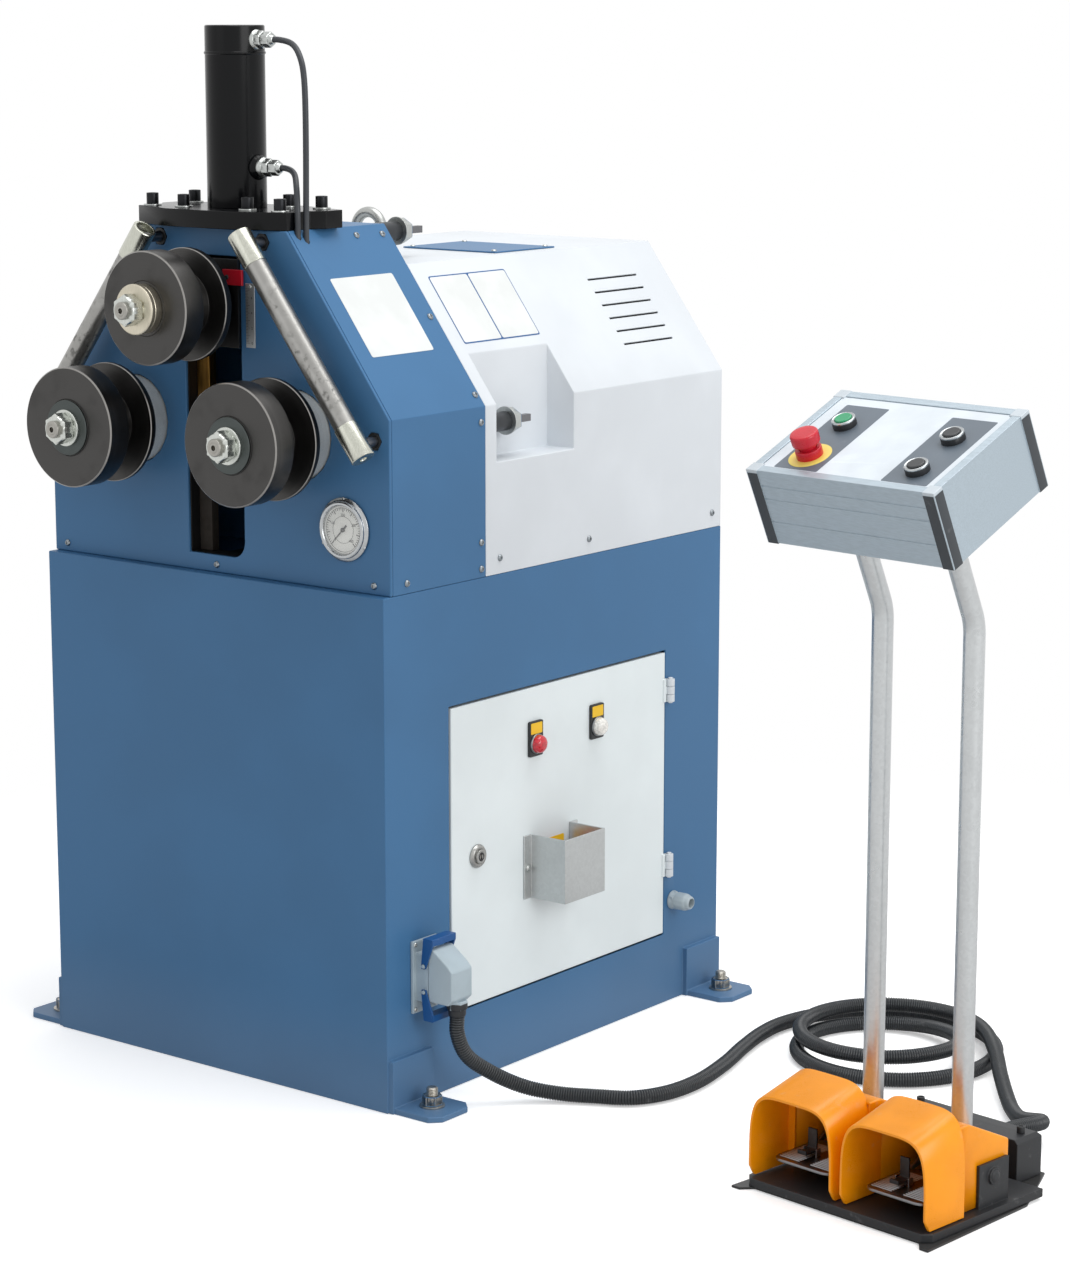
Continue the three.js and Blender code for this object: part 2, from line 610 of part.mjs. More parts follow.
function doorLock() {
  const face = doorFace + seat;
  const rosette = turned('x', [[0, face], [lock.rosetteRadius, face],
    [lock.rosetteRadius - lock.edge, face + lock.rosetteHeight],
    [lock.insertRadius, face + lock.rosetteHeight],
    [lock.insertRadius, face + lock.insertHeight], [0, face + lock.insertHeight]], lockY, lock.z, medium);
  const keyway = block(face + lock.insertHeight - lock.keyDepth, face + lock.insertHeight + overrun,
    lockY - lock.keyHalfWidth, lockY + lock.keyHalfWidth, lock.z - lock.insertRadius,
    lock.z + lock.insertRadius);
  const camX = doorInner - lock.camThickness * 2;
  const stem = round('x', lock.stemRadius, camX, face + overrun, lockY, lock.z, small);
  const cam = block(camX, camX + lock.camThickness, lockY - lock.camHalfWidth,
    lockY + lock.camHalfWidth, lock.z - lock.camHalfWidth, lock.z + lock.camLength);
  return piece('door_lock', 'darkSteel', join(cut(rosette, keyway), stem, cam));
}

function lampPiece(name, y, paint) {
  const face = doorFace + seat;
  const holder = block(face, face + lamp.plateThickness, y - lamp.halfWidth, y + lamp.halfWidth,
    lamp.plateBottom, lamp.plateTop);
  const base = face + lamp.plateThickness;
  const dome = turned('x', [[0, base - overrun], [lamp.domeRadius, base - overrun],
    [lamp.domeRadius, base + lamp.domeHeight * lamp.domeWaistShare],
    [lamp.domeRadius * lamp.domeCrownShare, base + lamp.domeHeight * lamp.domeShoulderShare],
    [0, base + lamp.domeHeight]], y, lamp.z, medium);
  const barrel = round('x', lamp.barrelRadius, doorFace - lamp.barrelDepth, face + bite, y, lamp.z, medium);
  return piece(name, paint, join(holder, dome, barrel));
}

function switchGuard() {
  const g = guard;
  const face = doorFace + seat;
  const outer = face + g.projection;
  const [flange0, channel0] = [doorMiddle - g.flangeFront, doorMiddle - g.channelFront];
  const [channel1, flange1] = [doorMiddle + g.channelBack, doorMiddle + g.flangeBack];
  const outline = [[flange0, face], [channel0 + g.sheet, face],
    [channel0 + g.sheet, outer - g.sheet], [channel1 - g.sheet, outer - g.sheet],
    [channel1 - g.sheet, face], [flange1, face], [flange1, face + g.sheet],
    [channel1, face + g.sheet], [channel1, outer], [channel0, outer],
    [channel0, face + g.sheet], [flange0, face + g.sheet]];
  const hat = plate('z', outline.map(([y, x]) => [x, y]), g.bottom, g.top);
  const screwYs = [(flange0 + channel0) / 2, (channel1 + flange1) / 2];
  const screws = screwYs.map((y) => round('x', g.screwRadius, face + g.sheet / 2,
    face + g.sheet + g.screwHeight, y, g.screwZ, small));
  return piece('switch_guard', 'zinc', join(hat, ...screws));
}

function mainSwitch() {
  const s = isolator;
  const face = doorFace + seat;
  const discTop = face + s.discHeight;
  const disc = round('x', s.discRadius, face, discTop, switchY, s.z, medium);
  const grip = block(discTop - overrun, discTop + s.gripHeight, switchY - s.gripHalfWidth,
    switchY + s.gripHalfWidth, s.z - s.discRadius, s.z + s.discRadius);
  const trim = round('x', s.discRadius, face, discTop + s.gripHeight + overrun, switchY, s.z, medium);
  const stem = round('x', s.stemRadius, doorFace - s.stemDepth, face + overrun, switchY, s.z, small);
  return piece('main_switch', 'red', join(disc, grip.intersect(trim), stem));
}

// Connector, plug and mains inlet

function connectorBase() {
  const k = connector;
  const face = cabinet.halfWidth + seat;
  const plateFace = face + k.plate;
  const body = block(face, face + k.bodyReach, connectorY - k.bodyHalfDepth, connectorY + k.bodyHalfDepth,
    k.bodyBottom, k.bodyTop);
  const flange = block(face, plateFace, connectorFront, connectorFront + k.width, k.bottom, k.top);
  const parts = [body];
  for (const side of barSides) {
    const pegY = connectorY + side * k.bodyHalfDepth;
    const [from, to] = [Math.min(pegY - side * overrun, pegY + side * k.pegReach),
      Math.max(pegY - side * overrun, pegY + side * k.pegReach)];
    for (const up of barSides) {
      parts.push(round('y', k.pegRadius, from, to, pegX, connectorZ + up * k.pegOffset, small));
    }
  }
  return piece('connector_base', 'light', join(flange, ...parts));
}

function plugHood() {
  const near = cabinet.halfWidth + connector.bodyReach + seat * 2;
  const outline = [[near, plug.bottom], [plugTip - plug.edge, plug.bottom],
    [plugTip, plug.bottom + plug.edge], [plugTip, plug.topFront - plug.edge],
    [plugTip - plug.edge, plug.topFront], [near + plug.edge, plug.topBack], [near, plug.topBack]];
  const shellFront = connectorY - plug.halfDepth;
  const shellBack = connectorY + plug.halfDepth;
  const shell = plate('y', outline, shellFront, shellBack);
  const nutBottom = plug.bottom - plug.glandNutHeight;
  const collar = nut('z', plug.glandRadius + overrun, nutBottom, plug.bottom + overrun, glandX,
    glandY);
  const gland = round('z', plug.glandRadius, plug.glandBottom, plug.bottom, glandX, glandY, small);
  return piece('plug_hood', 'light', join(shell, collar, gland));
}

function plugLever(name, side) {
  const pivotZ = connectorZ + side * connector.pegOffset;
  const barZ = connectorZ + side * lever.barOffset;
  const armTop = barZ + side * lever.barHalfHeight;
  const half = lever.armWidth / 2;
  const body = [];
  const armInner = plug.halfDepth + running;
  const near = pegX;
  for (const flank of barSides) {
    const y0 = connectorY + flank * armInner;
    const y1 = connectorY + flank * (armInner + lever.thickness);
    const outline = [[pegX - half, pivotZ - side * half], [pegX + half,
      pivotZ - side * half],
      [handleX + half, barZ - side * half], [handleX + half, armTop], [near, armTop],
      [pegX - half, pivotZ + side * half]];
    const arm = plate('y', outline, Math.min(y0, y1), Math.max(y0, y1));
    const hole = bore('y', connector.pegRadius + seat, connectorY - armInner * 2,
      connectorY + armInner * 2, pegX, pivotZ, small);
    body.push(cut(arm, hole));
  }
  const width = armInner + lever.thickness;
  const handle = block(near, handleX + half, connectorY - width, connectorY + width,
    Math.min(armTop, armTop - side * lever.barDepth), Math.max(armTop, armTop - side * lever.barDepth));
  const handleFace = armTop - side * lever.barDepth;
  const room = block(near - overrun, handleX + half + overrun, connectorY - armInner,
    connectorY + armInner,
    Math.min(connectorZ, handleFace), Math.max(connectorZ, handleFace));
  return piece(name, 'levers', cut(join(handle, ...body), room));
}

function cableGland() {
  const g = inlet;
  const face = cabinet.halfWidth + seat;
  const inner = cabinet.halfWidth - cabinet.sheet - seat;
  const tip = face + g.length;
  const profile = [[g.boreRadius, inner - g.shankInside], [g.shankRadius, inner - g.shankInside],
    [g.shankRadius, inner - g.nutLength], [g.flangeRadius, inner - g.nutLength], [g.flangeRadius, inner],
    [g.shankRadius, inner], [g.shankRadius, face], [g.flangeRadius, face],
    [g.flangeRadius, face + g.flangeLength], [g.domeRadius, face + g.flangeLength + g.edge],
    [g.domeRadius, tip - g.edge], [g.domeRadius - g.edge, tip], [g.boreRadius, tip], [g.boreRadius,
      inner - g.shankInside]];
  return piece('cable_gland', 'grey', turned('x', profile, inletY, g.z, medium));
}

// Head

function bearingBores(from, to) {
  return barSides.map((side) => bore('y', lower.shaftRadius + seat, from, to, side * lowerX, lower.z,
    medium));
}

function pipeBores(gap) {
  return [lowerPipe, upperPipe].map(([x, y]) => bore('z', pipe.radius + gap, pipeBottom - gap,
    head.top + overrun, x, y, small));
}

function headFrame() {
  const outline = headOutline(frameInset, headBase, head.top);
  const frontPlate = plate('y', outline, frontPlateFront, frontPlateBack);
  const rearPlate = plate('y', outline, head.rearPlateFront, head.rearPlateBack);
  const shell = plate('y', outline, frontPlateBack - bite, head.rearPlateFront + bite);
  const hollow = plate('y', headOutline(frameInset + head.wall, headBase + head.base, head.top - head.wall),
    frontPlateBack - overrun, head.rearPlateFront + overrun);
  const bosses = barSides.map((side) => round('y', lower.bossRadius, roll.rearBack + lower.bossGap,
    frontPlateFront + overrun, side * lowerX, lower.z, fine));
  const bushes = [];
  for (const side of barSides) {
    for (const [x, z] of rodSpots) {
      bushes.push(round('y', bar.bushRadius, head.rearPlateBack - overrun, bar.bushBack, side * x, z,
        medium));
      bushes.push(nut('y', bar.nutRadius, bar.bushBack - bite, bar.nutBack, side * x, z));
    }
  }
  const roofBeamTop = roof - rear.sheet - beam.below;
  const liftingBeam = block(-beam.halfWidth, beam.halfWidth, head.rearPlateBack - overrun, beam.back,
    roofBeamTop - beam.thickness, roofBeamTop);
  const steelStrip = block(strip.steelLeft, slot.right + overrun, strip.front, frontPlateBack,
    slot.bottom - overrun, slot.top + overrun);
  const rodHole = bore('z', cylinder.rodRadius + seat, slot.bottom, head.top + overrun, 0, cylinder.y,
    large);
  const gaugeHole = bore('y', gauge.caseRadius + seat, 0, frontPlateBack + overrun, gaugeX, gauge.z,
    medium);
  const pinionHole = bore('y', motor.shaftRadius + seat, motor.shaftFront - seat,
    head.rearPlateBack + overrun, 0, lower.z, medium);
  const eyeHole = bore('z', eye.shankRadius + seat, roof - eye.shankDrop - overrun, roofBeamTop + overrun, 0,
    eye.y, small);
  const opened = cut(join(frontPlate, rearPlate, cut(shell, hollow)),
    slotHole(frontPlateFront - overrun, frontPlateBack + overrun));
  const body = cut(join(opened, steelStrip, ...bosses, ...bushes, liftingBeam),
    rodHole, gaugeHole, pinionHole, eyeHole,
    ...bearingBores(roll.front, head.rearPlateBack + overrun),
    ...rodHoles(bar.rodHole, 0, bar.nutBack + overrun),
    ...pipeBores(seat));
  return piece('head_frame', 'blue', body);
}

function frontCover() {
  const sheetBody = plate('y', headOutline(0, headBase, head.top), 0, head.frontSheet);
  const from = -overrun;
  const to = head.frontSheet + overrun;
  const bosses = barSides.map((side) => bore('y', lower.bossRadius + running, from, to,
    side * lowerX, lower.z, fine));
  const gaugeHole = bore('y', gauge.caseRadius + seat, from, to, gaugeX, gauge.z, medium);
  return piece('front_cover', 'blue', cut(sheetBody, slotHole(from, to), gaugeHole, ...bosses,
    ...rodHoles(bar.coverHole, from, to)));
}

function sideCover(name, side) {
  const t = head.sideSheet;
  const outline = [[cabinet.halfWidth, headBase], [cabinet.halfWidth, head.shoulder],
    [slopeX(head.top, 0), head.top], [slopeX(head.top, t), head.top],
    [cabinet.halfWidth - t, kneeZ(t)], [cabinet.halfWidth - t, headBase]];
  const placed = outline.map(([x, z]) => [side * x, z]);
  const cover = plate('y', placed, head.frontSheet + seat, head.blueBack - seat);
  return piece(name, 'blue', side > 0 ? cut(cover, ...pipeBores(seat)) : cover);
}

function guideStrip() {
  return piece('guide_strip', 'bronze', block(slot.left + seat, strip.bronzeRight, strip.front,
    frontPlateBack, slot.bottom + seat, slot.top - seat));
}

function slideBlock() {
  const c = carriage;
  const wideBack = strip.front - running;
  const wide = block(slot.left + running, slot.right - running, c.front, wideBack, c.bottom, c.top);
  const narrow = block(strip.bronzeRight + running, strip.steelLeft - running, wideBack - overrun,
    c.guideBack, c.bottom, c.top);
  const pointer = block(c.pointerLeft, c.pointerRight, c.front - c.pointerThickness,
    c.front + bite, c.pointerBottom, c.pointerTop);
  const channel = bore('y', upper.shaftRadius + seat, c.front - overrun, c.guideBack + overrun, 0,
    upper.z, large);
  const tip = block(slot.right - running, c.pointerRight + overrun, c.front - seat,
    wideBack, c.pointerBottom - overrun, c.pointerTop + overrun);
  return piece('slide_block', 'black', cut(join(wide, narrow, cut(pointer, tip)), channel));
}

function pistonRod() {
  const c = cylinder;
  const bottom = carriage.top + seat;
  const pistonTop = cylinderTop - c.pistonBelow;
  const pistonBottom = pistonTop - c.pistonHeight;
  const profile = [[0, bottom], [c.rodRadius, bottom], [c.rodRadius, pistonBottom],
    [c.pistonRadius, pistonBottom], [c.pistonRadius, pistonTop], [0, pistonTop]];
  return piece('piston_rod', 'bright', turned('z', profile, 0, c.y, large));
}

function cylinderBarrel() {
  const c = cylinder;
  const bottom = cylinderBottom + seat;
  const top = cylinderTop;
  const weldZ = top - c.weldBelow;
  const rodBore = around(c.rodRadius + seat, fine);
  const barrelBore = around(c.boreRadius, fine);
  const halfWeld = c.weldHeight / 2;
  const profile = [[rodBore, bottom], [c.outerRadius, bottom], [c.outerRadius, weldZ - halfWeld],
    [c.weldRadius, weldZ], [c.outerRadius, weldZ + halfWeld], [c.outerRadius, top - bevel],
    [c.outerRadius - bevel, top], [0, top], [0, top - c.cap], [barrelBore, top - c.cap],
    [barrelBore, bottom + c.cap], [rodBore, bottom + c.cap], [rodBore, bottom]];
  const ports = [lowerPortZ, upperPortZ].map((z) => bore('x', c.portRadius, c.rodRadius,
    c.outerRadius + overrun, c.y, z, small));
  return piece('cylinder_barrel', 'black', cut(turned('z', profile, 0, c.y, fine), ...ports));
}

function topPlatePiece() {
  const t = topPlate;
  const cornerX = topHalf - t.cornerInset;
  const sideX = topHalf + t.sideOut;
  const right = [[t.frontHalf, t.frontY], [cornerX, t.cornerY], [cornerX, t.stepY],
    [sideX, t.sideFrontY], [sideX, t.sideBackY], [t.backHalf, t.backY]];
  const left = right.map(([x, y]) => [-x, y]).reverse();
  const bottom = head.top + seat;
  const top = cylinderBottom;
  const body = plate('z', [...right, ...left], bottom, top);
  const channel = bore('z', cylinder.rodRadius + seat, bottom - overrun, top + overrun, 0, cylinder.y,
    large);
  const bolts = [];
  for (const x of [t.innerBoltX, topHalf - t.outerBoltInset]) {
    for (const flank of barSides) {
      for (const sideY of barSides) {
        const spot = [flank * x, t.centreY + sideY * t.boltY];
        bolts.push(round('z', t.boltRadius, top - overrun, top + t.boltHeight, ...spot, small));
      }
    }
  }
  return piece('top_plate', 'black', join(cut(body, channel), ...bolts));
}

function pipePiece(name, z, [x, y]) {
  const p = pipe;
  const start = cylinder.outerRadius + seat;
  const spot = [cylinder.y, z];
  const fitting = join(
    round('x', p.bossRadius, start, p.bossEnd, ...spot, medium, p.bossRadius - p.bossTaper),
    round('x', p.nutRadius, p.bossEnd - overrun, p.nutEnd, ...spot, 6),
    nut('x', p.smallNutRadius, p.nutEnd - overrun, p.smallNutEnd, ...spot));
  const route = pipeRouteShares.map(([alongX, alongY, drop]) => [
    p.smallNutEnd + (x - p.smallNutEnd) * alongX, cylinder.y + (y - cylinder.y) * alongY,
      z - p.bend * drop]);
  const points = [[p.nutEnd, cylinder.y, z], ...route, [x, y, pipeBottom + p.bend / 2], [x, y, pipeBottom]];
  return piece(name, 'darkSteel', join(fitting, tube(points, p.radius, p.sides, p.steps)));
}

function gaugeCase() {
  const g = gauge;
  const face = -seat;
  const bezelFront = face - g.flange - g.bezel;
  const dial = bezelFront + g.dialDepth;
  const profile = [[0, dial], [g.dialRadius, dial], [g.dialRadius, bezelFront], [g.bezelRadius, bezelFront],
    [g.bezelRadius, face - g.flange], [g.flangeRadius, face - g.flange], [g.flangeRadius, face],
    [g.caseRadius, face], [g.caseRadius, face + g.caseDepth], [0, face + g.caseDepth]];
  return piece('gauge_case', 'black', turned('y', profile, gaugeX, g.z, fine));
}

function gaugePointer() {
  const g = gauge;
  const dial = g.dialDepth - seat - g.flange - g.bezel;
  const back = dial - running;
  const front = back - g.needleThickness;
  const hub = round('y', g.hubRadius, front - g.needleThickness, dial - seat, gaugeX, g.z, small);
  const angle = fullTurn * g.restTurnShare;
  const along = [Math.cos(angle), Math.sin(angle)];
  const across = [-along[1], along[0]];
  const at = (d, w) => [gaugeX + along[0] * d + across[0] * w, g.z + along[1] * d + across[1] * w];
  const half = g.needleWidth / 2;
  const tip = half * g.needleTipShare;
  const needle = plate('y', [at(-g.needleTail, -half), at(g.needleLength, -tip),
    at(g.needleLength, tip), at(-g.needleTail, half)], front, back);
  return piece('gauge_pointer', 'red', join(hub, needle));
}

function positionScale() {
  const back = -seat;
  return piece('position_scale', 'aluminium', block(scale.left, scale.right, back - scale.thickness, back,
    scale.bottom, scale.top));
}

// Rolls and drive

function gearWheel(teeth, x, z, phase) {
  const g = gear;
  const pitchRadius = (gearModule * teeth) / 2;
  const tip = pitchRadius + gearModule * g.tipShare;
  const root = pitchRadius - gearModule * g.rootShare;
  const points = [];
  for (let i = 0; i < teeth; i += 1) {
    const centre = (fullTurn * (i + phase)) / teeth;
    const spots = [[root, -g.rootHalfShare], [tip, -g.tipHalfShare], [tip, g.tipHalfShare], [root,
      g.rootHalfShare]];
    for (const [radius, share] of spots) {
      const angle = centre + (share * gearModule) / radius;
      points.push([x + radius * Math.cos(angle), z + radius * Math.sin(angle)]);
    }
  }
  return plate('y', points, g.front, g.back);
}

// The front end of a shaft: its collar, its nut and the stud with a centre hole
function shaftEnd(end, x, z) {
  const face = roll.front - seat;
  const collarFront = face - end.collar;
  const nutFront = collarFront - end.nut;
  const studFront = nutFront - end.stud;
  const collar = turned('y', [[0, collarFront], [end.collarRadius - bevel, collarFront],
    [end.collarRadius, collarFront + bevel], [end.collarRadius, face], [0, face]], x, z, large);
  const hexagon = frontNut(end.nutRadius, nutFront, collarFront + bite, x, z);
  const stud = round('y', end.studRadius, studFront, nutFront + overrun, x, z, medium);
  const hole = bore('y', studHole.radius, studFront - overrun, studFront + studHole.depth, x, z, small);
  return { body: join(collar, hexagon, stud), hole, inside: face };
}

function lowerShaft(name, side) {
  const x = side * lowerX;
  const end = shaftEnd(lowerEnd, x, lower.z);
  const shaft = round('y', lower.shaftRadius, end.inside - bite, lower.shaftBack, x, lower.z, medium);
  const wheel = gearWheel(gear.wheelTeeth, x, lower.z, side > 0 ? 0.5 : 0);
  return piece(name, 'steel', cut(join(end.body, shaft, wheel), end.hole));
}

function upperShaft() {
  const end = shaftEnd(upperEnd, 0, upper.z);
  const shaft = round('y', upper.shaftRadius, end.inside - bite, upper.shaftBack, 0, upper.z, medium);
  return piece('upper_shaft', 'steel', cut(join(end.body, shaft), end.hole));
}

function rollFront(name, x, z, radius, hole) {
  const hubEnd = (roll.frontBack + roll.rearFront) / 2 - seat / 2;
  const e = roll.edge;
  const profile = [[hole, roll.front], [radius - e, roll.front], [radius, roll.front + e],
    [radius, roll.frontBack - e], [radius - e, roll.frontBack], [roll.hubRadius, roll.frontBack],
    [roll.hubRadius, hubEnd], [hole, hubEnd], [hole, roll.front]];
  return piece(name, 'darkSteel', turned('y', profile, x, z, fine));
}

// The rear half: its disc, then a smaller step that ends at the boss or at the carriage
function rollRear(name, x, z, radius, hole, disc, step, back) {
  const hubStart = (roll.frontBack + roll.rearFront) / 2 + seat / 2;
  const e = roll.edge / 2;
  const discBack = roll.rearFront + disc;
  const profile = [[hole, hubStart], [roll.hubRadius, hubStart], [roll.hubRadius, roll.rearFront],
    [radius - e, roll.rearFront], [radius, roll.rearFront + e], [radius, discBack - e],
    [radius - e, discBack], [step, discBack], [step, back], [hole, back], [hole, hubStart]];
  return piece(name, 'darkSteel', turned('y', profile, x, z, fine));
}

function drivePinion() {
  const m = motor;
  const shaft = round('y', m.shaftRadius, m.shaftFront, m.shaftBack, 0, lower.z, medium);
  return piece('drive_pinion', 'steel', join(shaft, gearWheel(gear.pinionTeeth, 0, lower.z, 0)));
}

function gearMotor() {
  const m = motor;
  const z = lower.z;
  const gearbox = block(-m.boxHalf, m.boxHalf, m.boxFront, m.boxBack, z - m.boxHalf, z + m.boxTopAbove);
  const back = headBack - m.bodyInset;
  const terminalBack = back - m.terminalInset;
  const body = round('y', m.bodyRadius, m.boxBack - overrun, back - m.cowlLength + overrun, 0, z, large);
  const cowl = round('y', m.cowlRadius, back - m.cowlLength, back, 0, z, large);
  const terminals = block(-m.terminalHalf, m.terminalHalf, terminalBack - m.terminalLength, terminalBack,
    z, z + m.terminalTop);
  const stand = block(-m.standHalfWidth, m.standHalfWidth, m.standFront, m.standBack,
    headBase, z - m.boxHalf + overrun);
  const arch = block(m.standPlate - m.standHalfWidth, m.standHalfWidth - m.standPlate,
    m.standFront + m.standPlate, m.standBack + overrun, headBase + m.standPlate,
    z - m.boxHalf - m.standPlate);
  const channel = bore('y', m.shaftRadius + seat, m.boxFront - overrun, m.shaftBack + seat, 0, z, medium);
  return piece('gear_motor', 'grey', cut(join(gearbox, body, cowl, terminals, cut(stand, arch)), channel));
}

function guideBar(name, side) {
  const b = bar;
  const start = new THREE.Vector3(side * (topHalf - b.upperInset), b.y, b.upperZ);
  const finish = new THREE.Vector3(side * (cabinet.halfWidth - b.lowerInset), b.y, b.lowerZ);
  const length = start.distanceTo(finish);
  const e = b.edge;
  const profile = [[0, 0], [b.radius - e, 0], [b.radius, e], [b.radius, length - e], [b.radius - e, length],
    [b.hollowRadius, length], [b.hollowRadius, length - b.hollowDepth], [0, length - b.hollowDepth]];
  const points = profile.map(([r, a]) => new THREE.Vector2(r, a));
  const geometry = new THREE.LatheGeometry(points, large);
  const direction = start.clone().sub(finish).normalize();
  const turn = new THREE.Quaternion().setFromUnitVectors(new THREE.Vector3(0, 1, 0), direction);
  geometry.applyQuaternion(turn).translate(...finish.toArray());
  let body = solid(geometry);
  for (const [x, z] of rodSpots) {
    const shank = round('y', b.rodRadius, b.y, b.squareFront, side * x, z, small);
    const square = block(side * x - b.squareHalf, side * x + b.squareHalf, b.squareFront - overrun, b.end,
      z - b.squareHalf, z + b.squareHalf);
    body = join(body, shank, square);
  }
  return piece(name, 'bright', body);
}

// Rear cover and what it carries

function rearCover() {
  const r = rear;
  const outer = plate('y', headOutline(0, headBase, roof), head.blueBack, headBack);
  const inner = plate('y', headOutline(r.sheet, headBase - overrun, roof - r.sheet),
    head.blueBack - overrun, headBack - r.sheet);
  const recessX = cabinet.halfWidth - r.recessInset;
  const recess = (side, grow) => {
    const [left, right] = mirrored(side, recessX - grow, cabinet.halfWidth + overrun);
    return block(left, right, r.recessFront - grow, r.recessBack + grow, r.recessBottom - grow, roof);
  };
  const shell = cut(cut(outer, recess(1, 0), recess(-1, 0)),
    cut(inner, recess(1, r.sheet), recess(-1, r.sheet)));
  const tools = rodHoles(r.bushHole, r.recessFront - r.sheet - overrun, r.recessFront + overrun);
  const slant = Math.atan2(normalZ, normalX);
  const ventTop = roof - r.ventDrop;
  const ventMiddle = headBack - r.ventInset - r.ventLength / 2;
  for (const side of barSides) {
    for (let i = 0; i < r.ventCount; i += 1) {
      const z = ventTop - (r.ventRun * i) / (r.ventCount - 1);
      const vent = new THREE.BoxGeometry(r.ventCutDepth, r.ventLength, r.ventWidth);
      vent.rotateY(-slant).translate(slopeX(z, 0), ventMiddle, z);
      if (side < 0) vent.rotateZ(Math.PI).translate(0, 2 * ventMiddle, 0);
      tools.push(solid(vent));
    }
  }
  const hatchHole = block(hatch.left + r.hatchHoleInset, hatch.right - r.hatchHoleInset,
    hatch.front + r.hatchHoleInset, hatch.back - r.hatchHoleInset, roof - r.sheet - overrun,
    roof + overrun);
  const eyeHole = bore('z', eye.shankRadius + seat, roof - r.sheet - overrun, roof + overrun, 0,
    eye.y, small);
  return piece('rear_cover', 'white', cut(shell, hatchHole, eyeHole, ...tools));
}

function accessPlate() {
  const bottom = roof + seat;
  return piece('access_plate', 'blue', block(hatch.left, hatch.right, hatch.front, hatch.back,
    bottom, bottom + hatch.thickness));
}

function liftingEye() {
  const e = eye;
  const base = roof + seat;
  const ringZ = base + e.height - e.ringRadius - e.sectionRadius;
  const ring = new THREE.TorusGeometry(e.ringRadius, e.sectionRadius, cornerSteps, large);
  ring.rotateX(Math.PI / 2).translate(0, e.y, ringZ);
  const collar = turned('z', [[0, base], [e.collarRadius, base], [e.collarRadius, base + e.collarHeight / 2],
    [e.collarRadius * e.collarTopShare, base + e.collarHeight], [0, base + e.collarHeight]], 0, e.y, medium);
  const shank = round('z', e.shankRadius, roof - e.shankDrop, base + overrun, 0, e.y, small);
  return piece('lifting_eye', 'zinc', join(solid(ring), collar, shank));
}

// Power unit and electrical panel inside the cabinet

function powerUnit() {
  const p = power;
  const floor = cabinet.sheet + seat;
  const half = cabinet.halfWidth - p.sideGap;
  const back = p.front + p.length;
  const motorY = p.front + p.motorAlong;
  const valveX = half - p.valveInset;
  const tank = block(-half, half, p.front, back, floor, p.tankTop);
  const lid = block(-half - p.lidOver, half + p.lidOver, p.front - p.lidOver, back + p.lidOver,
    p.tankTop - overrun, p.tankTop + p.lid);
  const lidTop = p.tankTop + p.lid;
  const motorBody = turned('z', [[0, p.tankTop], [p.motorRadius * p.bellShare, p.tankTop],
    [p.motorRadius * p.bellShare, lidTop + p.bell], [p.motorRadius, lidTop + p.bell],
    [p.motorRadius, p.motorTop - p.bell], [p.motorRadius * p.crownShare, p.motorTop], [0, p.motorTop]],
  p.motorX, motorY, large);
  const valves = block(valveX - p.valveHalf, valveX + p.valveHalf, motorY - p.valveHalf,
    motorY + p.valveHalf, p.tankTop, p.valveTop);
  const filler = round('z', p.fillerRadius, p.tankTop, p.fillerTop, half - p.fillerInset,
    p.front + p.fillerAlong, small);
  return piece('power_unit', 'grey', join(tank, lid, motorBody, valves, filler));
}

function electricalPanel() {
  const p = panel;
  const x = p.inset - cabinet.halfWidth;
  const board = block(x - p.thickness, x, p.front, p.back, p.bottom, p.top);
  const parts = [];
  const inset = p.standoff * 2;
  for (const z of [p.bottom + inset, p.top - inset]) {
    parts.push(block(cabinet.sheet + seat - cabinet.halfWidth, x, p.front, p.back,
      z - p.standoff, z + p.standoff));
  }
  for (const z of p.railZs) {
    parts.push(block(x - bite, x + p.railDepth, p.front + inset, p.back - inset,
      z - p.railHalf, z + p.railHalf));
    let y = p.deviceStart;
    for (const width of p.deviceWidths) {
      parts.push(block(x, x + p.deviceDepth, y, y + width, z - p.deviceHalf, z + p.deviceHalf));
      y += width + p.deviceGap;
    }
  }
  return piece('electrical_panel', 'zinc', join(board, ...parts));
}

// Pedestal: steel sheet with two bent tubes

const tilt = THREE.MathUtils.degToRad(pedestal.tiltAngle);

function bentTube(u) {
  const p = pedestal;
  const trim = p.bendRadius * Math.tan(tilt / 2);
  const bottom = new THREE.Vector3(u, 0, sheet.thickness / 2);
  const bendStart = new THREE.Vector3(u, 0, p.bendHeight - trim);
  const bend = new THREE.Vector3(u, 0, p.bendHeight);
  const rise = new THREE.Vector3(0, -Math.sin(tilt), Math.cos(tilt));
  const points = [bottom, bendStart];
  const centre = new THREE.Vector3(u, -p.bendRadius, p.bendHeight - trim);
  for (let i = 1; i <= p.bendSteps; i += 1) {
    const angle = (tilt * i) / p.bendSteps;
    points.push(new THREE.Vector3(u, centre.y + p.bendRadius * Math.cos(angle),
      centre.z + p.bendRadius * Math.sin(angle)));
  }
  points.push(bend.clone().addScaledVector(rise, p.upperLength));
  return bentBar(points, p.tubeRadius, p.tubeSides, new THREE.Vector3(1, 0, 0));
}

// A round bar along points in one plane, whose side direction is given
function bentBar(points, radius, sides, sideways) {
  return loft(points.map((point, i) => {
    const before = points[Math.max(i - 1, 0)];
    const after = points[Math.min(i + 1, points.length - 1)];
    const up = after.clone().sub(before).normalize().cross(sideways).normalize();
    return Array.from({ length: sides }, (_, k) => {
      const angle = (fullTurn * k) / sides;
      return point.clone().addScaledVector(sideways, radius * Math.cos(angle))
        .addScaledVector(up, radius * Math.sin(angle)).toArray();
    });
  }));
}

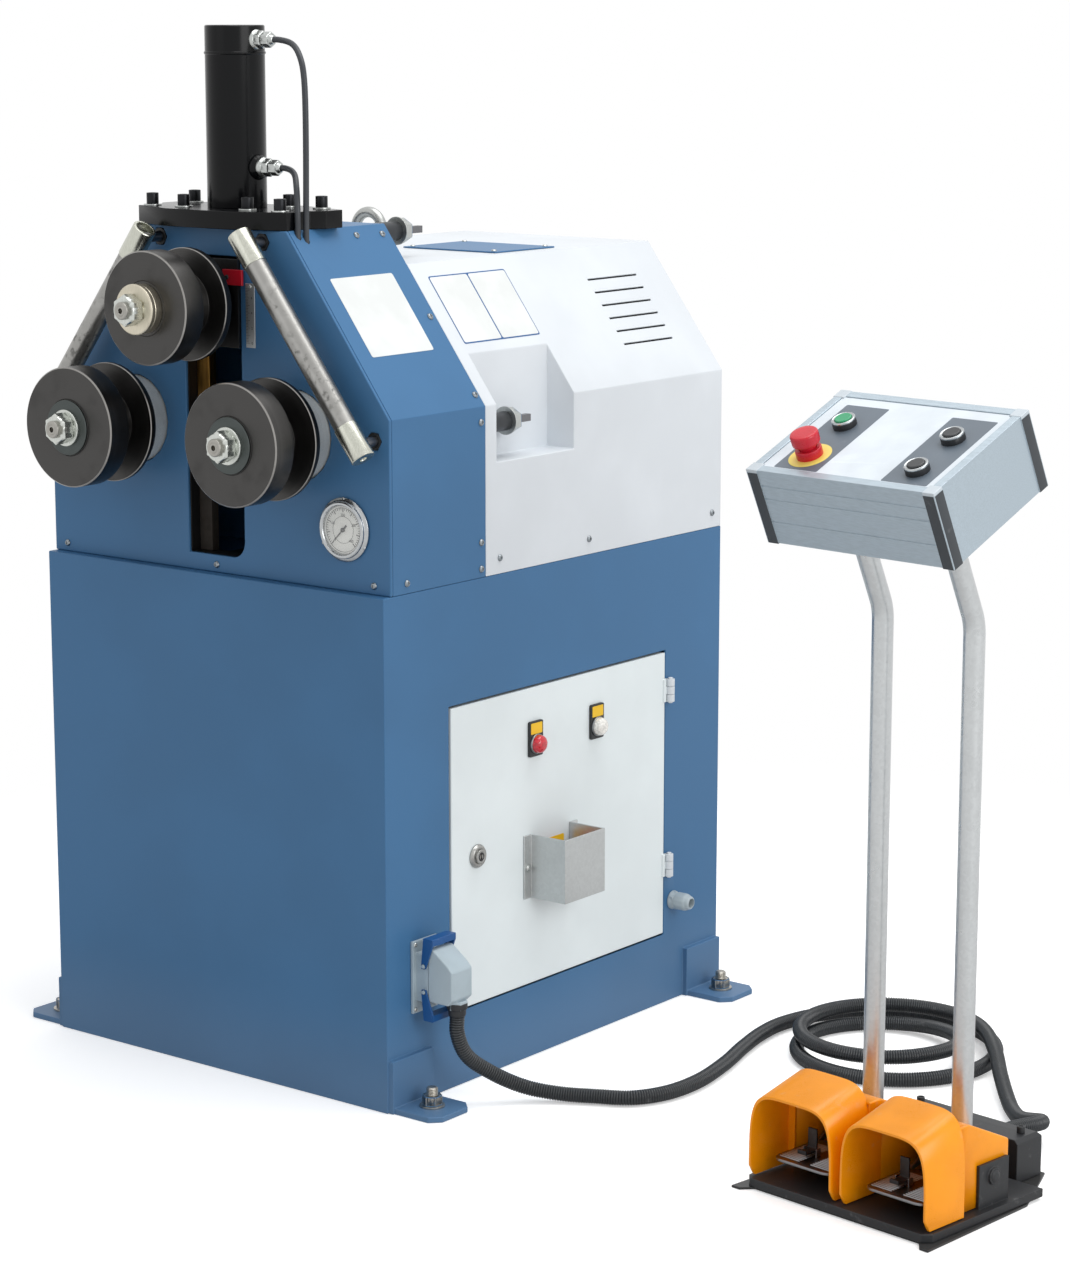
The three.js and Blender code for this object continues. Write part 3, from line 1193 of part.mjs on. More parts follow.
function pedestalFrame() {
  const s = sheet;
  const right = [[s.earX - s.earWidth, s.frontEdge], [s.earX - s.earWidth / 2, s.earFront],
    [s.earX, s.earFront], [s.sideX, s.sideBack], [s.backX, s.back]];
  const left = right.map(([u, v]) => [-u, v]).reverse();
  const plateBody = plate('z', [...right, ...left], 0, s.thickness);
  const tubes = barSides.map((side) => bentTube(side * pedestal.tubeX));
  return piece('pedestal_frame', 'zinc', join(plateBody, ...tubes));
}

function footSwitchBase() {
  const b = switchBase;
  const low = sheet.thickness + seat;
  const top = low + b.height;
  const c = b.corner;
  const outline = [[c - b.halfWidth, b.front], [b.halfWidth - c, b.front], [b.halfWidth, b.front + c],
    [b.halfWidth, b.back], [-b.halfWidth, b.back], [-b.halfWidth, b.front + c]];
  const tray = plate('z', outline, low, top);
  const parts = [];
  for (const side of barSides) {
    const inner = hood.centre + hood.outerSide + b.bracketGap;
    const [u0, u1] = mirrored(side, inner, inner + b.bracketThickness);
    parts.push(block(u0, u1, b.bracketFront, b.bracketBack, top - overrun, b.bracketTop));
    const [b0, b1] = mirrored(side, inner + bite, inner + b.bracketThickness + b.bossHeight);
    parts.push(round('x', b.bossRadius, b0, b1, b.bossV, b.bossZ, medium));
  }
  const tubeHoles = barSides.map((side) => bore('z', pedestal.tubeRadius + running, low - overrun,
    top + overrun, side * pedestal.tubeX, 0, medium));
  const pinHole = bore('x', pedal.pinRadius + seat, -b.halfWidth, b.halfWidth, b.bossV, b.bossZ, small);
  return piece('foot_switch_base', 'plastic', cut(join(tray, ...parts), pinHole, ...tubeHoles));
}

// The hood's arch across u at one depth v, between its feet and its crown
function archRing(v, low, halfWidth, shoulder, crown, corner) {
  const ring = [[-halfWidth, v, low], [halfWidth, v, low]];
  for (let i = 0; i <= hood.arcSteps; i += 1) {
    const angle = (Math.PI / 2) * (i / hood.arcSteps);
    ring.push([halfWidth - corner + corner * Math.cos(angle), v,
      shoulder - corner + corner * Math.sin(angle)]);
  }
  for (let i = 1; i < hood.crownSteps; i += 1) {
    const share = 1 - (2 * i) / hood.crownSteps;
    ring.push([(halfWidth - corner) * share, v, crown - (crown - shoulder) * share * share]);
  }
  for (let i = 0; i <= hood.arcSteps; i += 1) {
    const angle = (Math.PI / 2) * (1 + i / hood.arcSteps);
    ring.push([corner - halfWidth + corner * Math.cos(angle), v,
      shoulder - corner + corner * Math.sin(angle)]);
  }
  return ring;
}

function housingOutline(inset, back) {
  const h = hood;
  return [[h.mouthBack - overrun, h.bottom - inset], [back, h.bottom - inset], [back, h.housingLow - inset],
    [h.housingBendV, h.housingTop - inset], [h.mouthBack - overrun, h.housingTop - inset]];
}

function pedalGuard(name, side) {
  const h = hood;
  const outer = loft([
    archRing(h.front, h.bottom, h.halfWidth, h.frontShoulder, h.frontCrown, h.corner),
    archRing(h.mouthBack, h.bottom, h.halfWidth, h.rearShoulder, h.rearCrown, h.corner)]);
  const w = h.wall;
  const slope = (h.rearCrown - h.frontCrown) / (h.mouthBack - h.front);
  const grow = overrun * slope;
  const inner = loft([
    archRing(h.front - overrun, h.bottom - overrun, h.halfWidth - w, h.frontShoulder - w - grow,
      h.frontCrown - w - grow, h.corner - w),
    archRing(h.mouthBack - w, h.bottom - overrun, h.halfWidth - w, h.rearShoulder - w, h.rearCrown - w,
      h.corner - w)]);
  const [left, right] = mirrored(side, -h.halfWidth, h.outerSide);
  const housing = plate('x', housingOutline(0, h.back), left, right);
  const room = plate('x', housingOutline(w, h.back - w), left + w, right - w);
  const roomLong = block(left + w, right - w, h.mouthBack - w - overrun, h.mouthBack + overrun,
    h.bottom - overrun, h.housingTop - w);
  const clip = plate('x', [[h.front - overrun, h.bottom - overrun], [h.front + h.chamferDepth,
    h.bottom - overrun],
    [h.front, h.bottom + h.chamferHeight], [h.front - overrun, h.bottom + h.chamferHeight]],
  -h.halfWidth - overrun, h.halfWidth + overrun);
  let body = cut(join(outer, housing), inner, room, roomLong, clip);
  const tubeU = pedestal.tubeX - h.centre;
  const tubeHole = bore('z', pedestal.tubeRadius + h.tubeGap, h.bottom, h.rearCrown,
    side > 0 ? tubeU : -tubeU, 0, medium);
  const pinHole = bore('x', pedal.pinRadius + seat, -h.halfWidth - overrun, h.halfWidth + overrun,
    switchBase.bossV, switchBase.bossZ, small);
  body = cut(body, tubeHole, pinHole);
  const geometry = geometryOf(body);
  geometry.translate(side * h.centre, 0, 0);
  return piece(name, 'amber', geometry);
}

function pedalPiece(name, side) {
  const p = pedal;
  const centre = side * hood.centre;
  const bottom = p.top - p.thickness;
  const deck = block(centre - p.halfWidth, centre + p.halfWidth, p.front, p.back, bottom, p.top);
  const parts = [];
  const pitch = (p.back - p.front) / (p.ribCount + 1);
  for (let i = 1; i <= p.ribCount; i += 1) {
    const v = p.front + i * pitch;
    parts.push(block(centre - p.halfWidth, centre + p.halfWidth, v - p.ribWidth / 2, v + p.ribWidth / 2,
      p.top - bite, p.top + p.ribHeight));
  }
  const { bossV, bossZ } = switchBase;
  for (const flank of barSides) {
    const [u0, u1] = mirrored(flank, p.halfWidth - p.armThickness, p.halfWidth);
    parts.push(plate('x', [[p.back - p.skirt, bottom], [p.back, bottom], [p.armRear,
      bossZ - p.armHalfHeight],
      [p.armRear, bossZ + p.armHalfHeight], [bossV, bossZ + p.armHalfHeight], [p.back - p.skirt, p.top]],
    centre + u0, centre + u1));
  }
  const [pin0, pin1] = mirrored(side, hood.centre - p.halfWidth - p.skirt,
    hood.centre + hood.outerSide + switchBase.bracketGap + switchBase.bracketThickness);
  parts.push(round('x', p.pinRadius, pin0, pin1, bossV, bossZ, small));
  const latchU = centre + latch.offset;
  const lugs = barSides.map((flank) => block(latchU + flank * latch.lugOffset - latch.lugHalf,
    latchU + flank * latch.lugOffset + latch.lugHalf, latch.pivotV - latch.eyeRadius,
    latch.pivotV + latch.eyeRadius, p.top - bite, latch.pivotZ + latch.eyeRadius));
  const latchPin = round('x', latch.pinRadius, latchU - latch.lugOffset,
    latchU + latch.lugOffset, latch.pivotV, latch.pivotZ, small);
  return piece(name, 'grey', join(deck, ...parts, ...lugs, latchPin));
}

function latchPiece(name, side) {
  const l = latch;
  const centre = side * hood.centre + l.offset;
  const from = centre - l.halfWidth;
  const to = centre + l.halfWidth;
  const eyeBody = round('x', l.eyeRadius - running, from, to, l.pivotV, l.pivotZ, small);
  const upright = block(from, to, l.pivotV, l.pivotV + l.thickness, l.pivotZ, l.top);
  const toe = block(from, to, l.toe, l.pivotV, l.pivotZ - running, l.pivotZ - running + l.thickness);
  const tip = block(from, to, l.toe, l.toe + l.thickness, l.pivotZ - running, l.pivotZ + l.toeHeight);
  const channel = bore('x', l.pinRadius + seat, from - overrun, to + overrun, l.pivotV, l.pivotZ, small);
  return piece(name, 'plastic', cut(join(eyeBody, upright, toe, tip), channel));
}

function junctionBox() {
  const b = box;
  const low = sheet.thickness + seat;
  const i = b.topInset;
  const body = loft([
    [[-b.halfWidth, b.front, low], [b.halfWidth, b.front, low], [b.halfWidth, b.back - b.collarLength, low],
      [-b.halfWidth, b.back - b.collarLength, low]],
    [[-b.halfWidth, b.front, b.top - i], [b.halfWidth, b.front, b.top - i],
      [b.halfWidth, b.back - b.collarLength, b.top - i], [-b.halfWidth, b.back - b.collarLength, b.top - i]],
    [[i - b.halfWidth, b.front, b.top], [b.halfWidth - i, b.front, b.top],
      [b.halfWidth - i, b.back - b.collarLength - i, b.top], [i - b.halfWidth,
        b.back - b.collarLength - i, b.top]]]);
  const bolts = barSides.map((side) => round('z', b.boltRadius, b.top - overrun, b.top + b.boltHeight,
    side * b.boltU, b.boltV, small));
  const collar = round('y', b.collarRadius, b.back - b.collarLength - overrun, b.back, b.hoseU, b.hoseZ,
    small);
  return piece('junction_box', 'plastic', join(body, ...bolts, collar));
}

// Console: its group is tilted, with t along its depth

function consoleHousing() {
  const d = desk;
  const halfW = d.width / 2;
  const halfD = d.depth / 2;
  const shell = block(-halfW, halfW, -halfD, halfD, 0, d.height);
  const inside = block(d.wall - halfW, halfW - d.wall, d.wall - halfD, halfD - d.wall, d.wall,
    d.height - d.lid - d.lidDrop - d.ledge);
  const mouth = block(d.rim + d.ledge - halfW, halfW - d.rim - d.ledge, d.rim + d.ledge - halfD,
    halfD - d.rim - d.ledge, d.height / 2, d.height + overrun);
  const lidSeat = block(d.rim - halfW, halfW - d.rim, d.rim - halfD, halfD - d.rim,
    d.height - d.lid - d.lidDrop, d.height + overrun);
  const grooves = d.ribZs.map((z) => block(-halfW - overrun, halfW + overrun, -halfD - overrun,
    d.ribDepth - halfD, z, z + d.ribWidth));
  const trims = [];
  for (const side of barSides) {
    const [u0, u1] = mirrored(side, halfW - d.trimWidth, halfW + d.trimProud);
    for (const edge of barSides) {
      const [t0, t1] = mirrored(edge, halfD - d.trimWidth, halfD + d.trimProud);
      trims.push(cut(block(u0, u1, t0, t1, 0, d.height),
        block(d.wall - halfW, halfW - d.wall, d.wall - halfD, halfD - d.wall, -overrun,
          d.height + overrun)));
    }
  }
  const body = cut(shell, inside, mouth, lidSeat, ...grooves);
  return piece('console_housing', 'aluminium', join(body, ...trims));
}

const lidBottom = desk.height - desk.lid - desk.lidDrop + seat;
const lidTop = lidBottom + desk.lid;
const buttonSpots = {
  start_button: [button.startU, button.startT, 'green'],
  button_up: [button.upU, button.upT, 'plastic'],
  button_down: [button.downU, button.downT, 'plastic'],
};

function consoleLid() {
  const d = desk;
  const halfW = d.width / 2 - d.rim - d.lidGap;
  const halfD = d.depth / 2 - d.rim - d.lidGap;
  let body = block(-halfW, halfW, -halfD, halfD, lidBottom, lidTop);
  for (const [u, t] of Object.values(buttonSpots)) {
    body = join(body, round('z', button.bezelRadius, lidBottom, lidTop + button.bezelHeight, u, t, medium));
    body = cut(body, bore('z', button.bore, lidBottom - overrun, lidTop + button.bezelHeight + overrun,
      u, t, medium));
  }
  body = join(body, round('z', stop.collarRadius, lidBottom, lidTop + stop.collarHeight, stop.u, stop.t,
    medium));
  body = cut(body, bore('z', button.bore, lidBottom - overrun, lidTop + stop.collarHeight + overrun,
    stop.u, stop.t, medium));
  return piece('console_lid', 'aluminium', body);
}

function buttonPiece(name) {
  const [u, t, paint] = buttonSpots[name];
  const top = lidTop + button.bezelHeight + button.proud;
  const profile = [[0, lidTop - button.stem], [button.radius, lidTop - button.stem],
    [button.radius, top - button.edge], [button.radius - button.edge, top], [0, top]];
  return piece(name, paint, turned('z', profile, u, t, medium));
}

function emergencyStop() {
  const s = stop;
  const capLow = lidTop + s.capBottom;
  const capHigh = lidTop + s.capTop;
  const profile = [[0, lidTop - button.stem], [s.stemRadius, lidTop - button.stem], [s.stemRadius, capLow],
    [s.capRadius * s.waistShare, capLow], [s.capRadius, capLow + s.rim], [s.capRadius, capHigh - s.shoulder],
    [s.capRadius * s.waistShare, capHigh - s.crown], [s.capRadius * s.crownShare, capHigh], [0, capHigh]];
  return piece('emergency_stop', 'red', turned('z', profile, s.u, s.t, large));
}

function consoleGroup() {
  const group = new THREE.Group();
  const p = pedestal;
  const lift = p.upperLength + seat;
  const bend = new THREE.Vector3(0, 0, p.bendHeight);
  const rise = new THREE.Vector3(0, -Math.sin(tilt), Math.cos(tilt));
  const back = new THREE.Vector3(0, Math.cos(tilt), Math.sin(tilt));
  group.position.copy(bend.addScaledVector(rise, lift).addScaledVector(back, desk.rearShift));
  group.rotation.x = tilt;
  group.add(consoleHousing(), consoleLid(), emergencyStop());
  group.add(...Object.keys(buttonSpots).map(buttonPiece));
  return group;
}

function pedestalGroup() {
  const group = new THREE.Group();
  group.position.set(pedestalX, pedestalY, 0);
  group.rotation.z = THREE.MathUtils.degToRad(pedestal.turnAngle);
  group.add(pedestalFrame(), footSwitchBase(), junctionBox(),
    pedalGuard('pedal_guard_left', -1), pedalGuard('pedal_guard_right', 1),
    pedalPiece('pedal_left', -1), pedalPiece('pedal_right', 1),
    latchPiece('latch_left', -1), latchPiece('latch_right', 1), consoleGroup());
  return group;
}

// Corrugated hose

const hoseFloor = hose.radius + hose.floorLift;

function coilPoints() {
  const c = coil;
  const turns = c.inTurns + c.climbTurns + c.outTurns;
  const count = Math.round(turns * c.pointsPerTurn);
  const points = [];
  for (let i = 0; i <= count; i += 1) {
    const turn = (turns * i) / count;
    const climb = THREE.MathUtils.smoothstep(turn, c.inTurns, c.inTurns + c.climbTurns);
    const middle = c.inTurns + c.climbTurns / 2;
    const inward = Math.min(turn / middle, 1);
    const outward = Math.max((turn - middle) / (turns - middle), 0);
    const radius = c.entryRadius + (c.innerRadius - c.entryRadius) * inward
      + (c.exitRadius - c.innerRadius) * outward;
    const angle = Math.PI - fullTurn * turn;
    points.push([c.out + radius * Math.cos(angle), c.along + radius * Math.sin(angle),
      hoseFloor + hose.layer * climb]);
  }
  return points;
}

function hoseRoute() {
  const turn = THREE.MathUtils.degToRad(pedestal.turnAngle);
  const entry = [box.hoseU, box.back + seat, box.hoseZ];
  const spot = (u, v, z) => [
    pedestalX + u * Math.cos(turn) - v * Math.sin(turn),
    pedestalY + u * Math.sin(turn) + v * Math.cos(turn), z];
  const placed = ([out, along, z]) => [cabinet.halfWidth + out, cabinetFront + along, z];
  const start = [glandX, glandY, plug.glandBottom - seat];
  const down = [start, [start[0], start[1], start[2] - hose.straight], ...hose.drop.map(placed)];
  const onFloor = hose.floorPath.map(([out, along]) => placed([out, along, hoseFloor]));
  const rise = [
    spot(box.hoseU, box.back + hose.riseBehind, hose.riseZ),
    spot(entry[0], entry[1] + hose.straight, entry[2]), spot(...entry),
  ];
  return [...down, ...onFloor, ...coilPoints().map(placed), ...hose.returnPath.map(placed), ...rise];
}

// Rings of points along the hose: crown and root turn about, and the bore returns inside
function corrugatedHose() {
  const h = hose;
  const route = hoseRoute().map((p) => new THREE.Vector3(...p));
  const curve = new THREE.CatmullRomCurve3(route, false, 'centripetal');
  curve.arcLengthDivisions = h.lengthSteps;
  const rings = h.ribs * 2;
  const spots = Array.from({ length: rings + 1 }, (_, i) => curve.getPointAt(i / rings));
  const tangents = spots.map((_, i) => curve.getTangentAt(i / rings));
  tangents[0].set(0, 0, -1);
  tangents[rings].subVectors(spots[rings], spots[rings - 2]).normalize();
  const vertices = [];
  const faces = [];
  const frames = [];
  let side = new THREE.Vector3(1, 0, 0);
  spots.forEach((spot, i) => {
    const along = tangents[i];
    side = side.clone().addScaledVector(along, -side.dot(along)).normalize();
    frames.push([spot, side, along.clone().cross(side)]);
  });
  const addRing = ([spot, u, v], radius, sides) => {
    const first = vertices.length / 3;
    for (let k = 0; k < sides; k += 1) {
      const angle = (fullTurn * k) / sides;
      vertices.push(...spot.clone().addScaledVector(u, radius * Math.cos(angle))
        .addScaledVector(v, radius * Math.sin(angle)).toArray());
    }
    return first;
  };
  const band = (a, b, sides, flip) => {
    for (let k = 0; k < sides; k += 1) {
      const n = (k + 1) % sides;
      const quad = [a + k, a + n, b + n, b + k];
      if (flip) quad.reverse();
      faces.push(quad[0], quad[1], quad[2], quad[0], quad[2], quad[3]);
    }
  };
  const outside = frames.map((f, i) => addRing(f, i % 2 ? h.radius : h.rootRadius, h.sides));
  for (let i = 0; i < rings; i += 1) band(outside[i], outside[i + 1], h.sides, false);
  const inside = [];
  for (let i = 0; i <= rings; i += 2) inside.push(addRing(frames[i], h.boreRadius, h.boreSides));
  for (let i = 0; i < inside.length - 1; i += 1) band(inside[i], inside[i + 1], h.boreSides, true);
  const rim = (outer, inner, flip) => {
    let o = 0;
    let n = 0;
    while (o < h.sides || n < h.boreSides) {
      const stepOuter = n === h.boreSides || (o < h.sides && (o + 1) * h.boreSides <= (n + 1) * h.sides);
      const a = outer + (o % h.sides);
      const b = inner + (n % h.boreSides);
      const c = stepOuter ? outer + ((o + 1) % h.sides) : inner + ((n + 1) % h.boreSides);
      if (flip) faces.push(a, b, c);
      else faces.push(a, c, b);
      if (stepOuter) o += 1;
      else n += 1;
    }
  };
  rim(outside[0], inside[0], true);
  rim(outside[rings], inside[inside.length - 1], false);
  const geometry = new THREE.BufferGeometry();
  geometry.setAttribute('position', new THREE.Float32BufferAttribute(vertices, 3));
  geometry.setIndex(faces);
  geometry.computeVertexNormals();
  reportGap(spots, curve.getLength());
  return piece('corrugated_hose', 'rubber', geometry);
}

// The least gap of the hose to itself, between spots more than some diameters apart along it
function reportGap(spots, length) {
  const step = length / (spots.length - 1);
  const skip = Math.ceil((hose.radius * hose.neighbourShare) / step);
  let least = Infinity;
  for (let i = 0; i < spots.length; i += 1) {
    for (let j = i + skip; j < spots.length; j += 1) {
      least = Math.min(least, spots[i].distanceTo(spots[j]));
    }
  }
  const gap = least - 2 * hose.radius;
  console.log(`hose length ${length.toFixed(0)} mm, least gap to itself ${gap.toFixed(2)} mm`);
}

const lowerBore = around(lower.shaftRadius + seat, fine);
const upperBore = around(upper.shaftRadius + seat, fine);
const lowerStep = roll.lowerRadius - roll.edge * 2;
const upperBack = carriage.front - carriage.pointerThickness - running;

function lowerRoll(name, side) {
  const x = side * lowerX;
  return [
    rollFront(`${name}_roll_front`, x, lower.z, roll.lowerRadius, lowerBore),
    rollRear(`${name}_roll_rear`, x, lower.z, roll.lowerRadius, lowerBore, roll.lowerDisc, lowerStep,
      roll.rearBack),
    lowerShaft(`${name}_shaft`, side)];
}

// The head stands on the cabinet, a little behind its front
function headGroup() {
  const group = new THREE.Group();
  group.position.set(0, cabinetFront + head.inset, cabinet.height);
  group.add(
    headFrame(), frontCover(), sideCover('side_cover_left', -1), sideCover('side_cover_right', 1),
    guideStrip(), slideBlock(), pistonRod(), cylinderBarrel(), topPlatePiece(),
    pipePiece('lower_pipe', lowerPortZ, lowerPipe), pipePiece('upper_pipe', upperPortZ, upperPipe),
    gaugeCase(), gaugePointer(), positionScale(),
    ...lowerRoll('lower_left', -1), ...lowerRoll('lower_right', 1), upperShaft(),
    rollFront('upper_roll_front', 0, upper.z, roll.upperRadius, upperBore),
    rollRear('upper_roll_rear', 0, upper.z, roll.upperRadius, upperBore, roll.upperDisc, roll.hubRadius,
      upperBack),
    drivePinion(), gearMotor(), guideBar('guide_bar_left', -1), guideBar('guide_bar_right', 1),
    rearCover(), accessPlate(), liftingEye());
  return group;
}

const machine = new THREE.Group();
machine.add(
  baseCabinet(), cabinetDoor(), doorLock(), switchGuard(), mainSwitch(),
  lampPiece('lamp_red', lampYs[0], 'lensRed'), lampPiece('lamp_white', lampYs[1], 'lens'),
  connectorBase(), plugHood(), plugLever('plug_lever_upper', 1), plugLever('plug_lever_lower', -1),
  cableGland(), headGroup(), powerUnit(), electricalPanel(), pedestalGroup(), corrugatedHose());

export default machine;
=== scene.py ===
"""The looks of the ring roller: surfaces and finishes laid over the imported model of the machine.
Shapes are in millimetres, and become metres when make() or settle() puts them into the scene."""
import json
import math

import bmesh
import bpy
import numpy as np
from bpy.props import FloatProperty, FloatVectorProperty, IntProperty, PointerProperty
from mathutils import Matrix, Vector


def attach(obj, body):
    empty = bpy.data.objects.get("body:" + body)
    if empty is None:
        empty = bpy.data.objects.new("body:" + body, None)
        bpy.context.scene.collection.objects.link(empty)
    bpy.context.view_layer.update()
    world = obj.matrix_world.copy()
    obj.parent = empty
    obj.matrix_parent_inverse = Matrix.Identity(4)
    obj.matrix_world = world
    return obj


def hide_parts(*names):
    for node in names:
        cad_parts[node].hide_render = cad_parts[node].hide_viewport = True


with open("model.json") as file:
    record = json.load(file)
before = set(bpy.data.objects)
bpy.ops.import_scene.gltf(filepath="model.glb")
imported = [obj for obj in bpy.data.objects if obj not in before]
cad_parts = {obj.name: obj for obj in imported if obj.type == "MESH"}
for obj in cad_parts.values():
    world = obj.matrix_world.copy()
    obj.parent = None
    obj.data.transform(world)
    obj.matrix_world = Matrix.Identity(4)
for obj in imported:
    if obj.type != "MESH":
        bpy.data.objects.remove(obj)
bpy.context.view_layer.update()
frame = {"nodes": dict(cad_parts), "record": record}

bl_info = {
    "name": "Ring Roller Looks",
    "version": (1, 0, 0),
    "blender": (4, 5, 0),
    "location": "View3D > Sidebar > Ring Roller",
    "description": "Makes the surfaces and finishes of a three-roll section bender",
    "category": "Add Mesh",
}

MM = 0.001
BODIES = {node: body for body, nodes in frame["record"]["behaviour"]["bodies"].items() for node in nodes}


def plain(text):
    """Turns a colour written as six hex digits into the linear colour that Blender works in."""
    parts = [int(text[i:i + 2], 16) / 255 for i in (0, 2, 4)]
    return tuple(p / 12.92 if p <= 0.04045 else ((p + 0.055) / 1.055) ** 2.4 for p in parts)


# Sizes and colours that a user would change

def length(name, about, value):
    """A length in metres for the sidebar, given in millimetres."""
    return FloatProperty(name=name, description=about, default=value * MM, min=0, unit="LENGTH", precision=5)


def colour(name, about, text):
    """A colour for the sidebar, given as hex digits."""
    return FloatVectorProperty(name=name, description=about, default=plain(text), subtype="COLOR", min=0,
                               max=1)


class RollerSizes(bpy.types.PropertyGroup):
    """Small sizes of the looks."""
    sheet_edge: length("Sheet edge", "Radius of the folded edges of painted sheet", 1.6)
    plate_edge: length("Plate edge", "Radius of the edges of cut plates and castings", 0.9)
    plastic_edge: length("Plastic edge", "Radius of the edges of moulded pieces", 1.2)
    hose_pitch: length("Hose pitch", "Distance between two ribs of the hose", 3.5)
    thread_pitch: length("Thread pitch", "Distance between two threads of a stud", 2)
    pedal_ribs: IntProperty(name="Pedal ribs", description="Ribs across one pedal", default=15, min=2)
    around: IntProperty(name="Faces around", description="Faces round a turned piece", default=72, min=12)


class RollerColours(bpy.types.PropertyGroup):
    """Colours of the paints and plastics."""
    blue: colour("Blue paint", "Cabinet and front of the head", "406e98")
    white: colour("White paint", "Rear cover", "d8dde2")
    door: colour("Door paint", "Door of the cabinet", "e6eef0")
    black: colour("Black paint", "Cylinder and top plate", "0b0c0e")
    amber: colour("Amber plastic", "Guards of the pedals", "fb9b00")
    hose: colour("Hose", "Corrugated hose", "2c2f32")
    levers: colour("Blue plastic", "Levers of the connector", "17508c")
    hood: colour("Hood", "Hood of the connector", "a9b8c0")
    red: colour("Red plastic", "Stop button and red lamp", "c9172c")
    green: colour("Green plastic", "Start button", "2e9c6a")


def sizes():
    """The sizes set in the sidebar."""
    return bpy.context.scene.roller_sizes


def colours():
    """The colours set in the sidebar."""
    return bpy.context.scene.roller_colours


# Shapes: whole arrays of points in millimetres

X, Y, Z = np.eye(3)
PLANES = {"x": (Y, Z, X), "y": (X, Z, Y), "z": (X, Y, Z)}


class Shape:
    """Points in millimetres, and faces as arrays with one array for each count of corners."""

    def __init__(self, points, faces):
        self.points = np.asarray(points, float).reshape(-1, 3)
        self.faces = faces

    def __add__(self, other):
        shift = len(self.points)
        return Shape(np.vstack([self.points, other.points]), self.faces + [f + shift for f in other.faces])

    def at(self, matrix):
        """Each point p becomes R p + t, with R and t from a 4 by 4 matrix."""
        return Shape(self.points @ matrix[:3, :3].T + matrix[:3, 3], self.faces)

    def moved(self, x=0, y=0, z=0):
        """The same shape, shifted along the axes."""
        return Shape(self.points + [x, y, z], self.faces)

    def flipped(self):
        """The mirror image in the plane x = 0."""
        return Shape(self.points * [-1, 1, 1], self.faces)


def total(shapes):
    """One shape of several."""
    shapes = list(shapes)
    result = shapes[0]
    for shape in shapes[1:]:
        result = result + shape
    return result


def grid(points, capped=False):
    """Quads between the rows of an (m, n, 3) array whose columns close into rings; a cap is one flat face."""
    rows, columns = points.shape[:2]
    index = np.arange(rows * columns).reshape(rows, columns)
    right = np.roll(index, -1, axis=1)
    quads = np.stack([index[:-1], right[:-1], right[1:], index[1:]], axis=-1).reshape(-1, 4)
    return Shape(points, [quads] + ([index[:1], index[-1:, ::-1]] if capped else []))


def eased(profile, radius, steps=3, closed=False):
    """Rounds each corner of a line of points: the corner p becomes the curve
    (1-s)^2 a + 2 s (1-s) p + s^2 b, with a and b one radius away along its two sides."""
    points = np.asarray(profile, float)
    before = np.roll(points, 1, axis=0)
    after = np.roll(points, -1, axis=0)
    run_in = np.linalg.norm(before - points, axis=1, keepdims=True)
    run_out = np.linalg.norm(after - points, axis=1, keepdims=True)
    reach = np.minimum(radius, 0.45 * np.minimum(run_in, run_out))
    a = points + (before - points) / np.maximum(run_in, 1e-9) * reach
    b = points + (after - points) / np.maximum(run_out, 1e-9) * reach
    s = np.linspace(0, 1, steps + 1)[None, :, None]
    curves = (1 - s) ** 2 * a[:, None] + 2 * s * (1 - s) * points[:, None] + s ** 2 * b[:, None]
    if closed:
        return curves.reshape(-1, 2)
    return np.vstack([points[:1], curves[1:-1].reshape(-1, 2), points[-1:]])


def turned(profile, axis, centre, round_by=0.6, sides=None, flats=0, flat_at=0.0):
    """A profile of (radius r, place h) turned about an axis: centre + r cos(a) U + r sin(a) V + h W.
    With flats, r is cut to flat_at / cos(angle from the middle of the nearest flat)."""
    u, v, w = PLANES[axis] if isinstance(axis, str) else axis
    sides = sides or sizes().around
    line = eased(profile, round_by) if round_by else np.asarray(profile, float)
    angle = np.arange(sides) * 2 * np.pi / sides
    radius = np.repeat(line[:, :1], sides, axis=1)
    if flats:
        step = 2 * np.pi / flats
        radius = np.minimum(radius, flat_at / np.cos((angle + step / 2) % step - step / 2)[None, :])
    around = np.cos(angle)[:, None] * u + np.sin(angle)[:, None] * v
    return grid(np.asarray(centre, float) + radius[..., None] * around + line[:, 1, None, None] * w)


def prism(outline, low, high, axis="z"):
    """An outline carried straight along an axis from low to high, with a flat face at each end."""
    u, v, w = PLANES[axis]
    flat = np.asarray(outline, float) @ np.array([u, v])
    return grid(np.stack([flat + low * w, flat + high * w]), capped=True)


def box(x0, x1, y0, y1):
    """The corners of a rectangle."""
    return [(x0, y0), (x1, y0), (x1, y1), (x0, y1)]


def rounded(x0, x1, y0, y1, radius):
    """A rectangle with round corners."""
    return eased(box(x0, x1, y0, y1), radius, closed=True)


def slab(x0, x1, y0, y1, z0, z1):
    """A flat-sided block."""
    return prism(box(x0, x1, y0, y1), z0, z1)


def rod(radius, low, high):
    """The profile of a plain round bar."""
    return [(0, low), (radius, low), (radius, high), (0, high)]


def ring(inner, outer, low, high):
    """The profile of a flat ring."""
    return [(inner, low), (outer, low), (outer, high), (inner, high), (inner, low)]


def circle(radius, count):
    """Points on a circle in a plane."""
    angle = np.linspace(0, 2 * np.pi, count, endpoint=False)
    return np.stack([radius * np.cos(angle), radius * np.sin(angle)], axis=1)


def nut(radius, low, high, axis, centre, hole=0.0):
    """A hexagon nut or bolt head whose corners are cut off by a cone at each end."""
    flat = radius * math.cos(math.pi / 6)
    cut = (radius - flat) * 0.6
    profile = [(hole, low), (flat * 0.96, low), (radius, low + cut),
               (radius, high - cut), (flat * 0.96, high), (hole, high)]
    return turned(profile, axis, centre, 0, 72, 6, flat)


